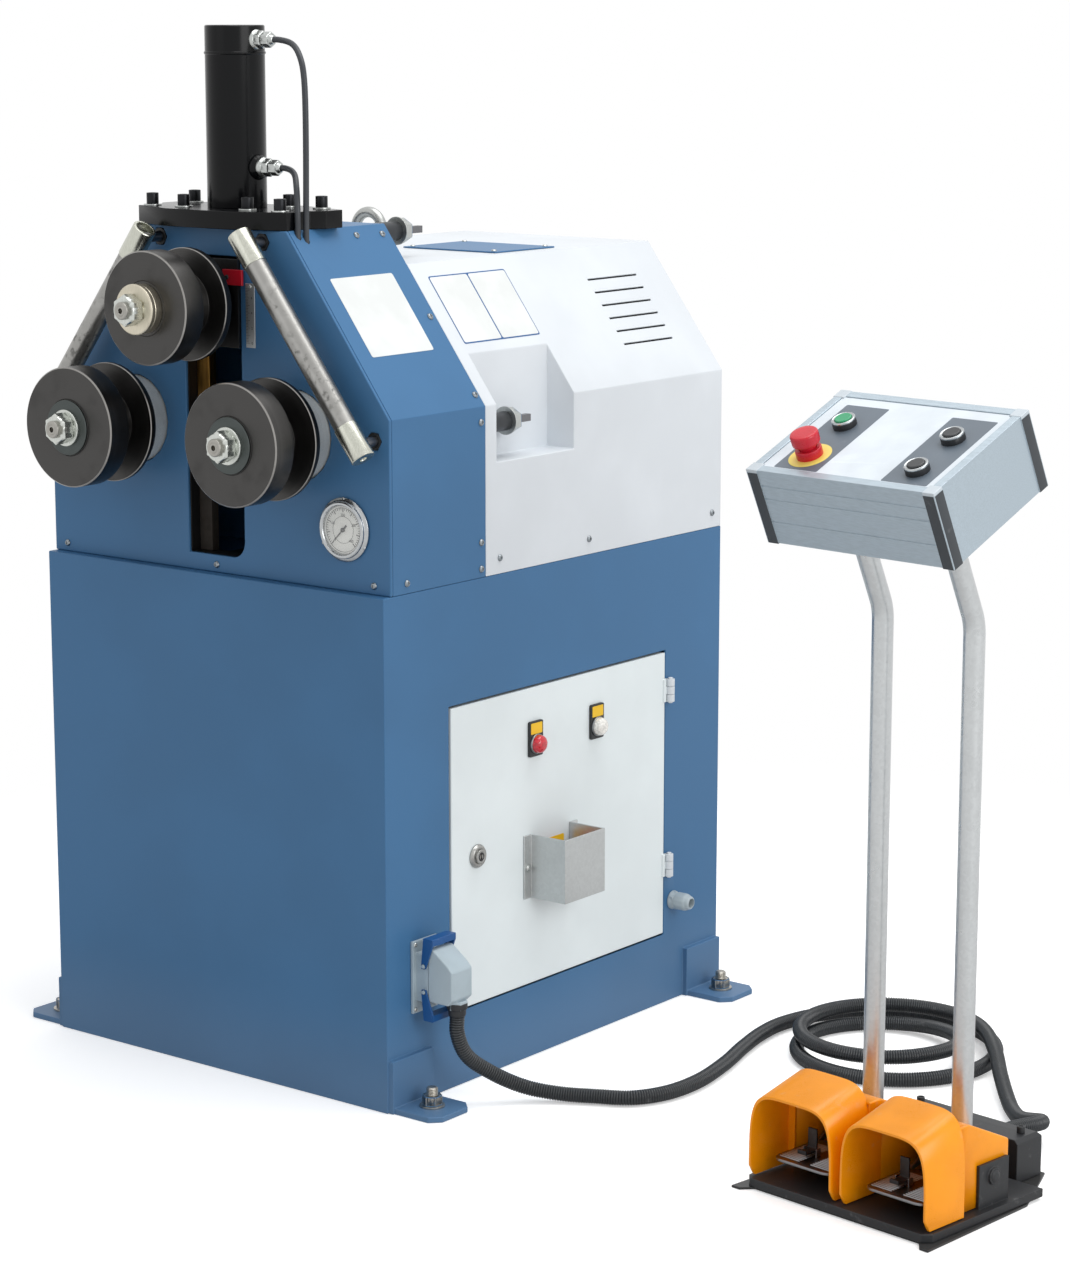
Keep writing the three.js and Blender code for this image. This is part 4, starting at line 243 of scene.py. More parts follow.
def washer(hole, radius, low, high, axis, centre):
    """A flat ring."""
    return turned(ring(hole, radius, low, high), axis, centre, 0.25, 48)


def stud(radius, low, high, axis, centre):
    """A threaded end: r = radius - depth * triangle wave of h, with a cone at its tip."""
    pitch = sizes().thread_pitch / MM
    count = max(int((high - low) / pitch), 2)
    h = np.linspace(low, high - pitch * 0.6, count * 2 + 1)
    r = np.where(np.arange(len(h)) % 2, radius, radius - pitch * 0.5)
    profile = np.vstack([[(0, low)], np.stack([r, h], axis=1), [(radius - pitch, high), (0, high)]])
    return turned(profile, axis, centre, 0, 40)


def cap_screw(radius, low, high, axis, centre):
    """A round screw head with a hexagon socket."""
    socket = radius * 0.5
    floor = high - (high - low) * 0.5
    rim = high - (high - low) * 0.05
    edge = high - (high - low) * 0.06
    head = [(0, low), (radius, low), (radius, high), (socket * 1.16, high), (socket * 1.16, floor)]
    hexagon = [(socket * 1.16, rim), (socket, edge), (socket, floor), (0, floor)]
    return turned(head, axis, centre, 0.7, 48) + turned(hexagon, axis, centre, 0, 48, 6, socket * 0.87)


def round_screw(radius, height, low, axis, centre, sign=1):
    """A low domed screw head with a small round socket, as shares of its radius and height."""
    shares = np.array([(0, 0), (1, 0), (1, 0.3), (0.72, 0.85), (0.4, 1), (0.4, 0.5), (0, 0.5)])
    return turned(shares * [radius, sign * height] + [0, low], axis, centre, 0.3, 32)


def swept(path, section, up=(0, 0, 1)):
    """A closed section carried along a path. The ring at point i is p + a U + b V, where U and V are
    carried along the path without twist, and (a, b) is the section, the same or one for each point."""
    path = np.asarray(path, float)
    along = np.gradient(path, axis=0)
    along /= np.linalg.norm(along, axis=1, keepdims=True)
    side = np.cross(along[0], up)
    if np.linalg.norm(side) < 1e-6:
        side = np.cross(along[0], (1, 0, 0))
    sides = []
    for direction in along:
        side = side - direction * side.dot(direction)
        side /= np.linalg.norm(side)
        sides.append(side)
    across = np.array(sides)
    over = np.cross(along, across)
    section = np.broadcast_to(section, (len(path),) + np.shape(section)[-2:])
    points = path[:, None] + section[..., :1] * across[:, None] + section[..., 1:] * over[:, None]
    return grid(points, capped=True)


def tube(path, radius, sides=24):
    """A round bar along a path."""
    return swept(path, circle(radius, sides))


def curve_through(points, per_span=12):
    """A centripetal curve through points: on each span the cubic 2 p1 - 2 p2 + t1 + t2 and so on in s,
    whose end tangents t1 and t2 come from the roots of the distances between the points."""
    points = np.asarray(points, float)
    ends = np.vstack([2 * points[0] - points[1], points, 2 * points[-1] - points[-2]])
    gap = np.sqrt(np.linalg.norm(np.diff(ends, axis=0), axis=1))[:, None]
    p0, p1, p2, p3 = ends[:-3], ends[1:-2], ends[2:-1], ends[3:]
    d0, d1, d2 = gap[:-2], gap[1:-1], gap[2:]
    t1 = ((p1 - p0) / d0 - (p2 - p0) / (d0 + d1) + (p2 - p1) / d1) * d1
    t2 = ((p2 - p1) / d1 - (p3 - p1) / (d1 + d2) + (p3 - p2) / d2) * d1
    s = np.linspace(0, 1, per_span, endpoint=False)[None, :, None]
    squares = (-3 * p1 + 3 * p2 - 2 * t1 - t2)[:, None]
    cubes = (2 * p1 - 2 * p2 + t1 + t2)[:, None]
    curve = p1[:, None] + t1[:, None] * s + squares * s ** 2 + cubes * s ** 3
    return np.vstack([curve.reshape(-1, 3), points[-1:]])


def spaced(path, count):
    """Points at equal distances along a path, and its length."""
    run = np.concatenate([[0], np.cumsum(np.linalg.norm(np.diff(path, axis=0), axis=1))])
    places = np.linspace(0, run[-1], count)
    return np.stack([np.interp(places, run, path[:, i]) for i in range(3)], axis=1), run[-1]


# Frames of the tilted and turned groups

def turn_about(axis, degrees):
    """A turn about a named axis, as a 4 by 4 array."""
    return np.array(Matrix.Rotation(math.radians(degrees), 4, axis))


def shift_by(x, y, z):
    """A shift, as a 4 by 4 array."""
    return np.array(Matrix.Translation((x, y, z)))


UPRIGHT = turn_about("X", 90)
TILT = 24.7
PEDESTAL = shift_by(1003.9, -174.8, 0) @ turn_about("Z", -7.04)
CONSOLE = PEDESTAL @ shift_by(0, 0, 728) @ turn_about("X", TILT) @ shift_by(0, 12, 137.8)
LID = 101.3


# Shader maths

class Wire:
    """A shader value, so that maths on it is written as plain arithmetic."""

    def __init__(self, finish, socket):
        self.finish = finish
        self.socket = socket

    def work(self, operation, *values):
        """One step of shader maths."""
        return self.finish.add("ShaderNodeMath", {"operation": operation}, dict(enumerate(values)))

    def __add__(self, other):
        return self.work("ADD", self, other)

    def __radd__(self, other):
        return self.work("ADD", other, self)

    def __sub__(self, other):
        return self.work("SUBTRACT", self, other)

    def __rsub__(self, other):
        return self.work("SUBTRACT", other, self)

    def __mul__(self, other):
        return self.work("MULTIPLY", self, other)

    def __pow__(self, other):
        return self.work("POWER", self, other)

    def between(self, low, high):
        """0 below low, 1 above high and a smooth step from one to the other."""
        inputs = {"Value": self, "From Min": low, "From Max": high}
        return self.finish.add("ShaderNodeMapRange", {"interpolation_type": "SMOOTHSTEP"}, inputs)


class Tree:
    """The nodes of a material or a world."""

    def __init__(self, owner):
        owner.use_nodes = True
        self.tree = owner.node_tree
        self.tree.nodes.clear()

    def add(self, kind, settings=None, inputs=None, output=0):
        """Adds a node: its settings come first, then the values or links of its sockets."""
        node = self.tree.nodes.new(kind)
        for key, value in (settings or {}).items():
            setattr(node, key, value)
        for key, value in (inputs or {}).items():
            if isinstance(value, Wire):
                self.tree.links.new(value.socket, node.inputs[key])
            else:
                node.inputs[key].default_value = value
        return Wire(self, node.outputs[output]) if len(node.outputs) else node


class Finish(Tree):
    """One procedural material, made from nodes on the object's own coordinates."""

    def __init__(self, name):
        self.material = bpy.data.materials.new(name)
        super().__init__(self.material)
        self.place = self.add("ShaderNodeTexCoord", output="Object")

    def noise(self, scale, detail=3.0, stretch=None):
        """Noise with a scale in cells for each metre, stretched along the axes."""
        place = self.place
        if stretch:
            settings = {"vector_type": "POINT"}
            place = self.add("ShaderNodeMapping", settings, {"Vector": place, "Scale": stretch})
        return self.add("ShaderNodeTexNoise", {}, {"Vector": place, "Scale": scale, "Detail": detail})

    def cells(self, scale):
        """The random shade of each cell of a broken pattern."""
        inputs = {"Vector": self.place, "Scale": scale}
        shades = self.add("ShaderNodeTexVoronoi", {"feature": "F1"}, inputs, "Color")
        return self.add("ShaderNodeSeparateColor", {}, {"Color": shades})

    def axis(self, letter):
        """The place along one axis, in metres."""
        return self.add("ShaderNodeSeparateXYZ", {}, {"Vector": self.place}, letter)

    def mix(self, mask, first, second):
        """A colour between two colours."""
        first = first if isinstance(first, Wire) else (*first, 1)
        second = second if isinstance(second, Wire) else (*second, 1)
        return self.add("ShaderNodeMix", {"data_type": "RGBA"}, {0: mask, 6: first, 7: second}, 2)

    def bump(self, height, depth, strength):
        """A relief with its depth in millimetres."""
        inputs = {"Height": height, "Distance": depth * MM, "Strength": strength}
        return self.add("ShaderNodeBump", {}, inputs)

    def done(self, **sockets):
        """Closes the material with one principled shader."""
        named = {key.replace("_", " ").title(): value for key, value in sockets.items()}
        inputs = {key.replace("Ior", "IOR"): value for key, value in named.items()}
        if "Base Color" in inputs and not isinstance(inputs["Base Color"], Wire):
            inputs["Base Color"] = (*inputs["Base Color"], 1)
        shader = self.add("ShaderNodeBsdfPrincipled", {}, inputs)
        self.add("ShaderNodeOutputMaterial", {}, {"Surface": shader})
        return self.material


def shade(base, factor):
    """A colour made lighter or darker."""
    return tuple(min(c * factor, 1) for c in base)


def paint(name, base, gloss, peel, shine=0.3, shaded_slot_half=0.0):
    """Sprayed paint: fine orange peel, cloudy shade, and dust near the floor. Inside a slot of the given half
    width, behind the front sheet and under the roof, the colour is near black: painted shade in the deep
    recess."""
    f = Finish(name)
    cloud = f.noise(5, 4)
    speck = f.noise(700, 2)
    dust = 1 - f.axis("Z").between(0.0, 0.16)
    tone = f.mix(cloud.between(0.35, 0.65), shade(base, 0.96), shade(base, 1.03))
    tone = f.mix(dust * 0.10, tone, (0.42, 0.42, 0.42))
    tone = f.mix(speck.between(0.62, 0.8) * 0.10, tone, shade(base, 0.8))
    if shaded_slot_half:
        x = f.axis("X")
        beside = ((x * x) ** 0.5).between(shaded_slot_half, shaded_slot_half + 0.001)
        behind = f.axis("Y").between(-0.3640, -0.3630)
        inside = (1 - beside) * behind * (1 - f.axis("Z").between(1.160, 1.161))
        # painted shade: the recess inside the slot is coloured near black
        tone = f.mix(inside, tone, plain("131314"))
    rough = gloss + (cloud - 0.5) * 0.12
    relief = f.bump(f.noise(420, 2), 0.10, peel)
    return f.done(base_color=tone, roughness=rough, normal=relief, specular_ior_level=shine)


def turned_metal(name, base, gloss, centre, bare=1.0):
    """Turned steel: fine rings about the axis of the lathe, which runs along Y, and stains."""
    f = Finish(name)
    x = f.axis("X") - centre[0]
    z = f.axis("Z") - centre[1]
    radius = (x * x + z * z) ** 0.5
    rings = f.add("ShaderNodeCombineXYZ", {}, {"X": radius * 2400, "Y": f.axis("Y") * 2400, "Z": 0.0})
    marks = f.add("ShaderNodeTexNoise", {}, {"Vector": rings, "Scale": 1.0, "Detail": 2.0})
    stain = f.noise(26, 5)
    tone = f.mix(marks.between(0.3, 0.7), shade(base, 0.86), shade(base, 1.12))
    tone = f.mix(stain.between(0.5, 0.75) * 0.35, tone, shade(base, 0.6))
    rough = gloss + (marks - 0.5) * 0.25 + stain.between(0.45, 0.8) * 0.12
    return f.done(base_color=tone, metallic=bare, roughness=rough, normal=f.bump(marks, 0.03, 0.5))


def metal(name, base, gloss, worn):
    """Plain bright metal: fine drawn streaks and cloudy tarnish."""
    f = Finish(name)
    streak = f.noise(600, 3, (1.0, 1.0, 0.2))
    cloud = f.noise(30, 5)
    tone = f.mix(streak.between(0.3, 0.7), shade(base, 0.94), shade(base, 1.04))
    tone = f.mix(cloud.between(0.5, 0.72) * worn, tone, shade(base, 0.7))
    rough = gloss + (streak - 0.5) * 0.12 + cloud.between(0.45, 0.75) * worn * 0.2
    return f.done(base_color=tone, metallic=1.0, roughness=rough, normal=f.bump(streak, 0.02, 0.2))


def mill_scale(name, base, gloss):
    """Bare round bar: satin steel, dark spots of scale in loose patches, and lighter rubbed places."""
    f = Finish(name)
    patch = f.noise(14, 3).between(0.42, 0.62)
    spot = f.noise(130, 4).between(0.50, 0.68)
    rub = f.noise(60, 4).between(0.5, 0.7)
    tone = f.mix(rub * 0.6, base, shade(base, 1.2))
    tone = f.mix(spot * patch * 0.75, tone, shade(base, 0.35))
    rough = gloss + spot * patch * 0.3 + rub * 0.06
    return f.done(base_color=tone, metallic=0.9, roughness=rough, normal=f.bump(spot, 0.03, 0.3))


def old_bronze(name, base, gloss):
    """Bronze strip: drawn lines and brown patches; below a height of about 0.93 m it turns near black,
    rougher and less metallic.
    """
    f = Finish(name)
    line = f.noise(300, 3, (1.0, 1.0, 0.06))
    patch = f.noise(40, 4)
    dark_below = 1 - f.axis("Z").between(0.905, 0.955)
    tone = f.mix(line.between(0.35, 0.65), shade(base, 0.75), shade(base, 1.15))
    tone = f.mix(patch.between(0.5, 0.7) * 0.6, tone, shade(base, 0.45))
    # darker towards the bottom: near black below about 0.93 m
    tone = f.mix(dark_below * 0.97, tone, plain("0b0a09"))
    rough = gloss + patch.between(0.45, 0.7) * 0.2 + dark_below * 0.4
    return f.done(base_color=tone, metallic=1 - dark_below, roughness=rough, normal=f.bump(line, 0.03, 0.3))


def zinc(name, base, gloss):
    """Galvanised steel: faint spangles, soft dull patches and a shallow waviness."""
    f = Finish(name)
    spangle = f.cells(260)
    cloud = f.noise(12, 4)
    tone = f.mix(spangle, shade(base, 0.95), shade(base, 1.03))
    tone = f.mix(cloud.between(0.45, 0.75) * 0.25, tone, shade(base, 0.82))
    rough = gloss + spangle * 0.04 + cloud * 0.08
    return f.done(base_color=tone, metallic=0.85, roughness=rough, normal=f.bump(f.noise(90, 2), 0.03, 0.2))


def plastic(name, base, gloss, grain):
    """Moulded plastic: fine grain, slight shade, and pale scuffs."""
    f = Finish(name)
    fine = f.noise(900, 2)
    cloud = f.noise(18, 4)
    tone = f.mix(cloud.between(0.35, 0.7), shade(base, 0.95), shade(base, 1.05))
    tone = f.mix(f.noise(70, 6).between(0.62, 0.8) * 0.12, tone, (0.6, 0.6, 0.6))
    rough = gloss + (fine - 0.5) * 0.15 + (cloud - 0.5) * 0.1
    return f.done(base_color=tone, roughness=rough, normal=f.bump(fine, 0.05, grain), specular_ior_level=0.5)


def brushed(name, base, gloss, stretch, bare=0.85):
    """Anodised aluminium with long brushed lines."""
    f = Finish(name)
    line = f.noise(700, 3, stretch)
    tone = f.mix(line.between(0.3, 0.7), shade(base, 0.93), shade(base, 1.05))
    rough = gloss + (line - 0.5) * 0.25
    return f.done(base_color=tone, metallic=bare, roughness=rough, normal=f.bump(line, 0.02, 0.4))


def lens(name, base):
    """A lamp lens of uneven thickness under a clear coat."""
    f = Finish(name)
    rib = f.noise(300, 1)
    tone = f.mix(rib.between(0.3, 0.7), shade(base, 0.8), shade(base, 1.15))
    return f.done(base_color=tone, roughness=0.12, normal=f.bump(rib, 0.1, 0.4), coat_weight=0.6)


def glass(name, base):
    """Clear gauge glass."""
    f = Finish(name)
    return f.done(base_color=base, roughness=0.02, alpha=0.12, specular_ior_level=0.8)


# Each finish by its name: material slot, maker, colour, and the maker's other values. A colour is the name
# of one in the sidebar, or hex digits.
LOOKS = {
    "blue_paint": ("blue_paint", paint, "blue", 0.42, 0.55),
    # blue paint with painted shade in the recess of its slot
    "blue_paint_slotted": ("blue_paint", paint, "blue", 0.42, 0.55, 0.3, 0.056),
    "white_paint": ("white_paint", paint, "white", 0.42, 0.35),
    "door_paint": ("white_paint", paint, "door", 0.42, 0.35),
    "black_paint": ("black_paint", paint, "black", 0.2, 0.25, 0.18),
    "pipe_grey": ("dark_steel", paint, "3b3e42", 0.35, 0.2),
    "machine_grey": ("grey_casting", paint, "6d7276", 0.5, 0.6),
    "boss_steel": ("turned_steel", turned_metal, "dcdcd6", 0.3, (0.148, 0.899), 0.4),
    "gear_steel": ("turned_steel", turned_metal, "8a8a88", 0.35, (0, 0.899)),
    "anchor_steel": ("zinc_plate", metal, "aba8a1", 0.32, 0.35),
    "lock_steel": ("zinc_plate", metal, "a9a9a6", 0.28, 0.2),
    "ring_metal": ("zinc_plate", metal, "8f9294", 0.35, 0.2),
    "bright_steel": ("zinc_plate", metal, "c4c6c6", 0.28, 0.25),
    "zinc_plated": ("zinc_plate", metal, "b9bcba", 0.3, 0.35),
    "screw_steel": ("zinc_plate", metal, "8f9599", 0.3, 0.2),
    "plated_nut": ("zinc_plate", metal, "c8cbc6", 0.26, 0.15),
    "collar_zinc": ("zinc_plate", metal, "cdc6b4", 0.34, 0.3),
    "gauge_steel": ("zinc_plate", metal, "b5b8ba", 0.22, 0.15),
    "eye_zinc": ("zinc_plate", metal, "b4b6b4", 0.34, 0.3),
    "strip_steel": ("dark_steel", metal, "8d8d8a", 0.35, 0.6),
    "sleeve_dark": ("dark_steel", metal, "4b4d50", 0.4, 0.4),
    "bezel_metal": ("dark_steel", metal, "b9bdbf", 0.2, 0.1),
    "slide_steel": ("black_paint", metal, "4a4a4a", 0.4, 0.6),
    "black_oxide": ("black_paint", metal, "2c2d2f", 0.35, 0.3),
    "rod_chrome": ("chrome_rod", metal, "d9dbdc", 0.12, 0.05),
    "shaft_steel": ("turned_steel", metal, "9b9b99", 0.3, 0.3),
    # lighter steel for the roll edges: worn bright, and a painted highlight
    "rubbed_edge": ("turned_steel", metal, "94928f", 0.3, 0.5),
    "stud_steel": ("turned_steel", metal, "a3a19b", 0.32, 0.3),
    "sleeve_steel": ("turned_steel", metal, "c6c7bc", 0.24, 0.12),
    "rod_steel": ("turned_steel", metal, "77777a", 0.35, 0.4),
    "pedal_metal": ("grey_plastic", metal, "8b8c8e", 0.3, 0.3),
    "bar_scale": ("turned_steel", mill_scale, "9b9a97", 0.3),
    "bronze_strip": ("bronze", old_bronze, "8f6a34", 0.36),
    "guard_zinc": ("zinc_plate", zinc, "c3c6c6", 0.3),
    "panel_zinc": ("zinc_plate", zinc, "b8bbbb", 0.35),
    "tube_zinc": ("zinc_plate", zinc, "c6c9ca", 0.24),
    "rule_metal": ("aluminium", brushed, "c9cccd", 0.4, (1.0, 1.0, 8.0)),
    "console_aluminium": ("aluminium", brushed, "aebbc4", 0.42, (0.05, 1.0, 1.0), 0.6),
    "red_lens": ("red_lens", lens, "red"),
    "white_lens": ("white_lens", lens, "eceae4"),
    "gauge_glass": ("white_lens", glass, (0.96, 0.98, 0.98)),
    "black_plastic": ("black_plastic", plastic, "202225", 0.5, 0.5),
    "hose_plastic": ("hose_rubber", plastic, "hose", 0.3, 0.2),
    "hood_casting": ("pale_plastic", plastic, "hood", 0.45, 0.6),
    "lever_plastic": ("blue_plastic", plastic, "levers", 0.35, 0.3),
    "gland_grey": ("grey_plastic", plastic, "a7b3b9", 0.4, 0.3),
    "amber_plastic": ("amber_plastic", plastic, "amber", 0.3, 0.3),
    "yellow_label": ("amber_plastic", plastic, "f2c21c", 0.45, 0.2),
    "pale_label": ("amber_plastic", plastic, "ecd66a", 0.45, 0.2),
    "switch_red": ("red_plastic", plastic, "red", 0.3, 0.2),
    "pointer_red": ("red_plastic", plastic, "red", 0.35, 0.2),
    "stop_red": ("red_plastic", plastic, "red", 0.3, 0.2),
    "needle_black": ("red_plastic", plastic, "26282a", 0.4, 0.1),
    "sign_plate": ("white_paint", plastic, "dde0df", 0.5, 0.1),
    "sign_border": ("white_paint", plastic, "22578f", 0.5, 0.1),
    "dial_white": ("white_paint", plastic, "f1f1ec", 0.5, 0.1),
    "ink": ("black_plastic", plastic, "1b1c1e", 0.6, 0.1),
    "trim_grey": ("black_plastic", plastic, "34393e", 0.45, 0.4),
    "strip_film": ("black_plastic", plastic, "616c77", 0.4, 0.3),
    "lid_paint": ("aluminium", plastic, "d8e0e7", 0.45, 0.3),
    "cap_grey": ("aluminium", plastic, "c3ccd3", 0.45, 0.3),
    "start_button_plastic": ("green_plastic", plastic, "green", 0.35, 0.2),
    "button_up_plastic": ("black_plastic", plastic, "2a2c2f", 0.35, 0.2),
    "button_down_plastic": ("black_plastic", plastic, "2a2c2f", 0.35, 0.2),
}
MADE = {}


def finish(look):
    """The finish of that name, which is made once for each colour."""
    _, maker, tint, *values = LOOKS[look]
    if tint in RollerColours.__annotations__:
        tint = tuple(getattr(colours(), tint))
    elif isinstance(tint, str):
        tint = plain(tint)
    if (look, tint) not in MADE:
        MADE[look, tint] = maker(look, tint, *values)
    return MADE[look, tint]


# Making pieces

def placed(name, data):
    """A new object in the scene."""
    obj = bpy.data.objects.new(name, data)
    bpy.context.scene.collection.objects.link(obj)
    return obj


def make(name, shape, look, rides, whole=False, edge=0.0, sharp=35, wall=0.0):
    """Puts a shape into a mesh in metres, closes it, turns its faces outwards and lets it ride on a node's
    body. A whole piece also takes that node's place."""
    mesh = bpy.data.meshes.new(name)
    loops = np.concatenate([f.ravel() for f in shape.faces])
    corners = np.concatenate([np.full(len(f), f.shape[1]) for f in shape.faces])
    starts = np.concatenate([[0], np.cumsum(corners)[:-1]])
    mesh.vertices.add(len(shape.points))
    mesh.vertices.foreach_set("co", (shape.points * MM).astype(np.float32).ravel())
    mesh.loops.add(len(loops))
    mesh.loops.foreach_set("vertex_index", loops.astype(np.int32))
    mesh.polygons.add(len(starts))
    mesh.polygons.foreach_set("loop_start", starts.astype(np.int32))
    mesh.update(calc_edges=True)
    mesh.validate()
    work = bmesh.new()
    work.from_mesh(mesh)
    bmesh.ops.remove_doubles(work, verts=work.verts, dist=1e-6)
    bmesh.ops.recalc_face_normals(work, faces=work.faces)
    work.to_mesh(mesh)
    work.free()
    replaces = (rides,) if whole else ()
    return settle(name, mesh, look, rides, replaces, edge, sharp, wall)


def settle(name, mesh, look, rides, replaces=(), edge=0.0, sharp=35, wall=0.0):
    """Shades a mesh, gives it its edges and finish, and ties it to the body that carries it."""
    mesh.polygons.foreach_set("use_smooth", np.ones(len(mesh.polygons), dtype=bool))
    mesh.set_sharp_from_angle(angle=math.radians(sharp))
    mesh.materials.append(finish(look))
    obj = placed(name, mesh)
    if wall:
        shell = obj.modifiers.new("wall", "SOLIDIFY")
        shell.thickness = wall * MM
        shell.offset = -1
        shell.use_even_offset = True
    if edge:
        weigh_edges(mesh, edge)
        bevel = obj.modifiers.new("edge", "BEVEL")
        bevel.width = edge
        bevel.segments = 3
        bevel.limit_method = "WEIGHT"
        bevel.use_clamp_overlap = False
        bevel.harden_normals = True
    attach(obj, BODIES[rides])
    if replaces:
        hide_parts(*replaces)
    return obj


def room_beside(corners):
    """For each side of a flat face, the distance from it to the nearest corner that isn't on it. A corner
    c is nearest to the side from a to b at a + s (b - a), with s = (c - a).(b - a) / |b - a|^2 in 0 to 1."""
    count = len(corners)
    along = np.roll(corners, -1, axis=0) - corners
    offset = corners[None] - corners[:, None]
    share = np.einsum("kij,kj->ki", offset, along) / np.maximum((along ** 2).sum(axis=1), 1e-18)[:, None]
    gap = np.linalg.norm(offset - np.clip(share, 0, 1)[..., None] * along[:, None], axis=2)
    own = np.arange(count)
    gap[own, own] = np.inf
    gap[own, (own + 1) % count] = np.inf
    return gap.min(axis=1)


CORNER = math.radians(32)
LEAST_SHARE = 0.06


def weigh_edges(mesh, width):
    """Gives each corner edge its share of the rounding, so that it fits the faces beside it."""
    work = bmesh.new()
    work.from_mesh(mesh)
    work.edges.index_update()
    room = np.full(len(work.edges), np.inf)
    for face in work.faces:
        edges = [loop.edge.index for loop in face.loops]
        room[edges] = np.minimum(room[edges], room_beside(np.array([v.co for v in face.verts])))
    share = np.minimum(room / (3 * width), 1)
    layer = work.edges.layers.float.new("bevel_weight_edge")
    for edge in work.edges:
        if len(edge.link_faces) == 2 and edge.calc_face_angle(0) > CORNER and share[edge.index] > LEAST_SHARE:
            edge[layer] = share[edge.index]
    work.to_mesh(mesh)
    work.free()


def dressed(node, look, edge, drop=(), split=False):
    """A merged copy of a node with flat faces joined and edges rounded. Faces inside a drop box, in
    millimetres, are left out where a finer piece stands. With split, hollow outlines are cut up."""
    mesh = frame["nodes"][node].data.copy()
    work = bmesh.new()
    work.from_mesh(mesh)
    bmesh.ops.remove_doubles(work, verts=work.verts, dist=1e-6)
    if drop:
        spots = np.array([v.co for v in work.verts]) / MM
        inside = np.zeros(len(spots), dtype=bool)
        for low, high in drop:
            inside |= np.all((spots >= low) & (spots <= high), axis=1)
        work.verts.ensure_lookup_table()
        gone = [face for face in work.faces if all(inside[v.index] for v in face.verts)]
        bmesh.ops.delete(work, geom=gone, context="FACES")
    bmesh.ops.dissolve_limit(work, angle_limit=math.radians(0.6), verts=work.verts, edges=work.edges)
    if split:
        bmesh.ops.connect_verts_concave(work, faces=work.faces[:])
    mesh.materials.clear()
    work.to_mesh(mesh)
    work.free()
    return settle(f"{node}_dressed", mesh, look, node, (node,), edge)


def written(name, text, height, matrix, look, rides):
    """Plain figures: flat letters filled as a mesh, then laid on their surface by a matrix."""
    data = bpy.data.curves.new(name, "FONT")
    data.body = text
    data.size = height * MM
    data.align_x = "CENTER"
    data.align_y = "CENTER"
    letters = placed(name, data)
    bpy.context.view_layer.update()
    mesh = bpy.data.meshes.new_from_object(letters.evaluated_get(bpy.context.evaluated_depsgraph_get()))
    bpy.data.objects.remove(letters)
    in_metres = Matrix(matrix.tolist())
    in_metres.translation = in_metres.translation * MM
    mesh.transform(in_metres)
    mesh.materials.clear()
    settle(name, mesh, look, rides)


class Maker:
    """What every operator of the sidebar shares."""
    bl_options = {"REGISTER", "UNDO"}

    def execute(self, context):
        """Makes the group; whatever fails in it is raised."""
        self.make()
        return {"FINISHED"}


# Stage

CAMERA_PLACE = (3.0387, -3.5630, 1.4659)
CAMERA_DOWN = 11.08
CAMERA_TURN = 37.94
FOCAL_LENGTH = 3282.35
PICTURE_HEIGHT = 1280
SENSOR = 36
LAMPS = {
    "key": ((5.0, -0.9, 2.3), (0.3, 0.0, 0.6), 3.0, 92),
    "fill": ((-1.2, -4.8, 3.0), (0.1, -0.2, 0.7), 2.6, 8),
    "top": ((0.8, 0.4, 4.4), (0.6, 0.0, 0.4), 3.0, 88),
}


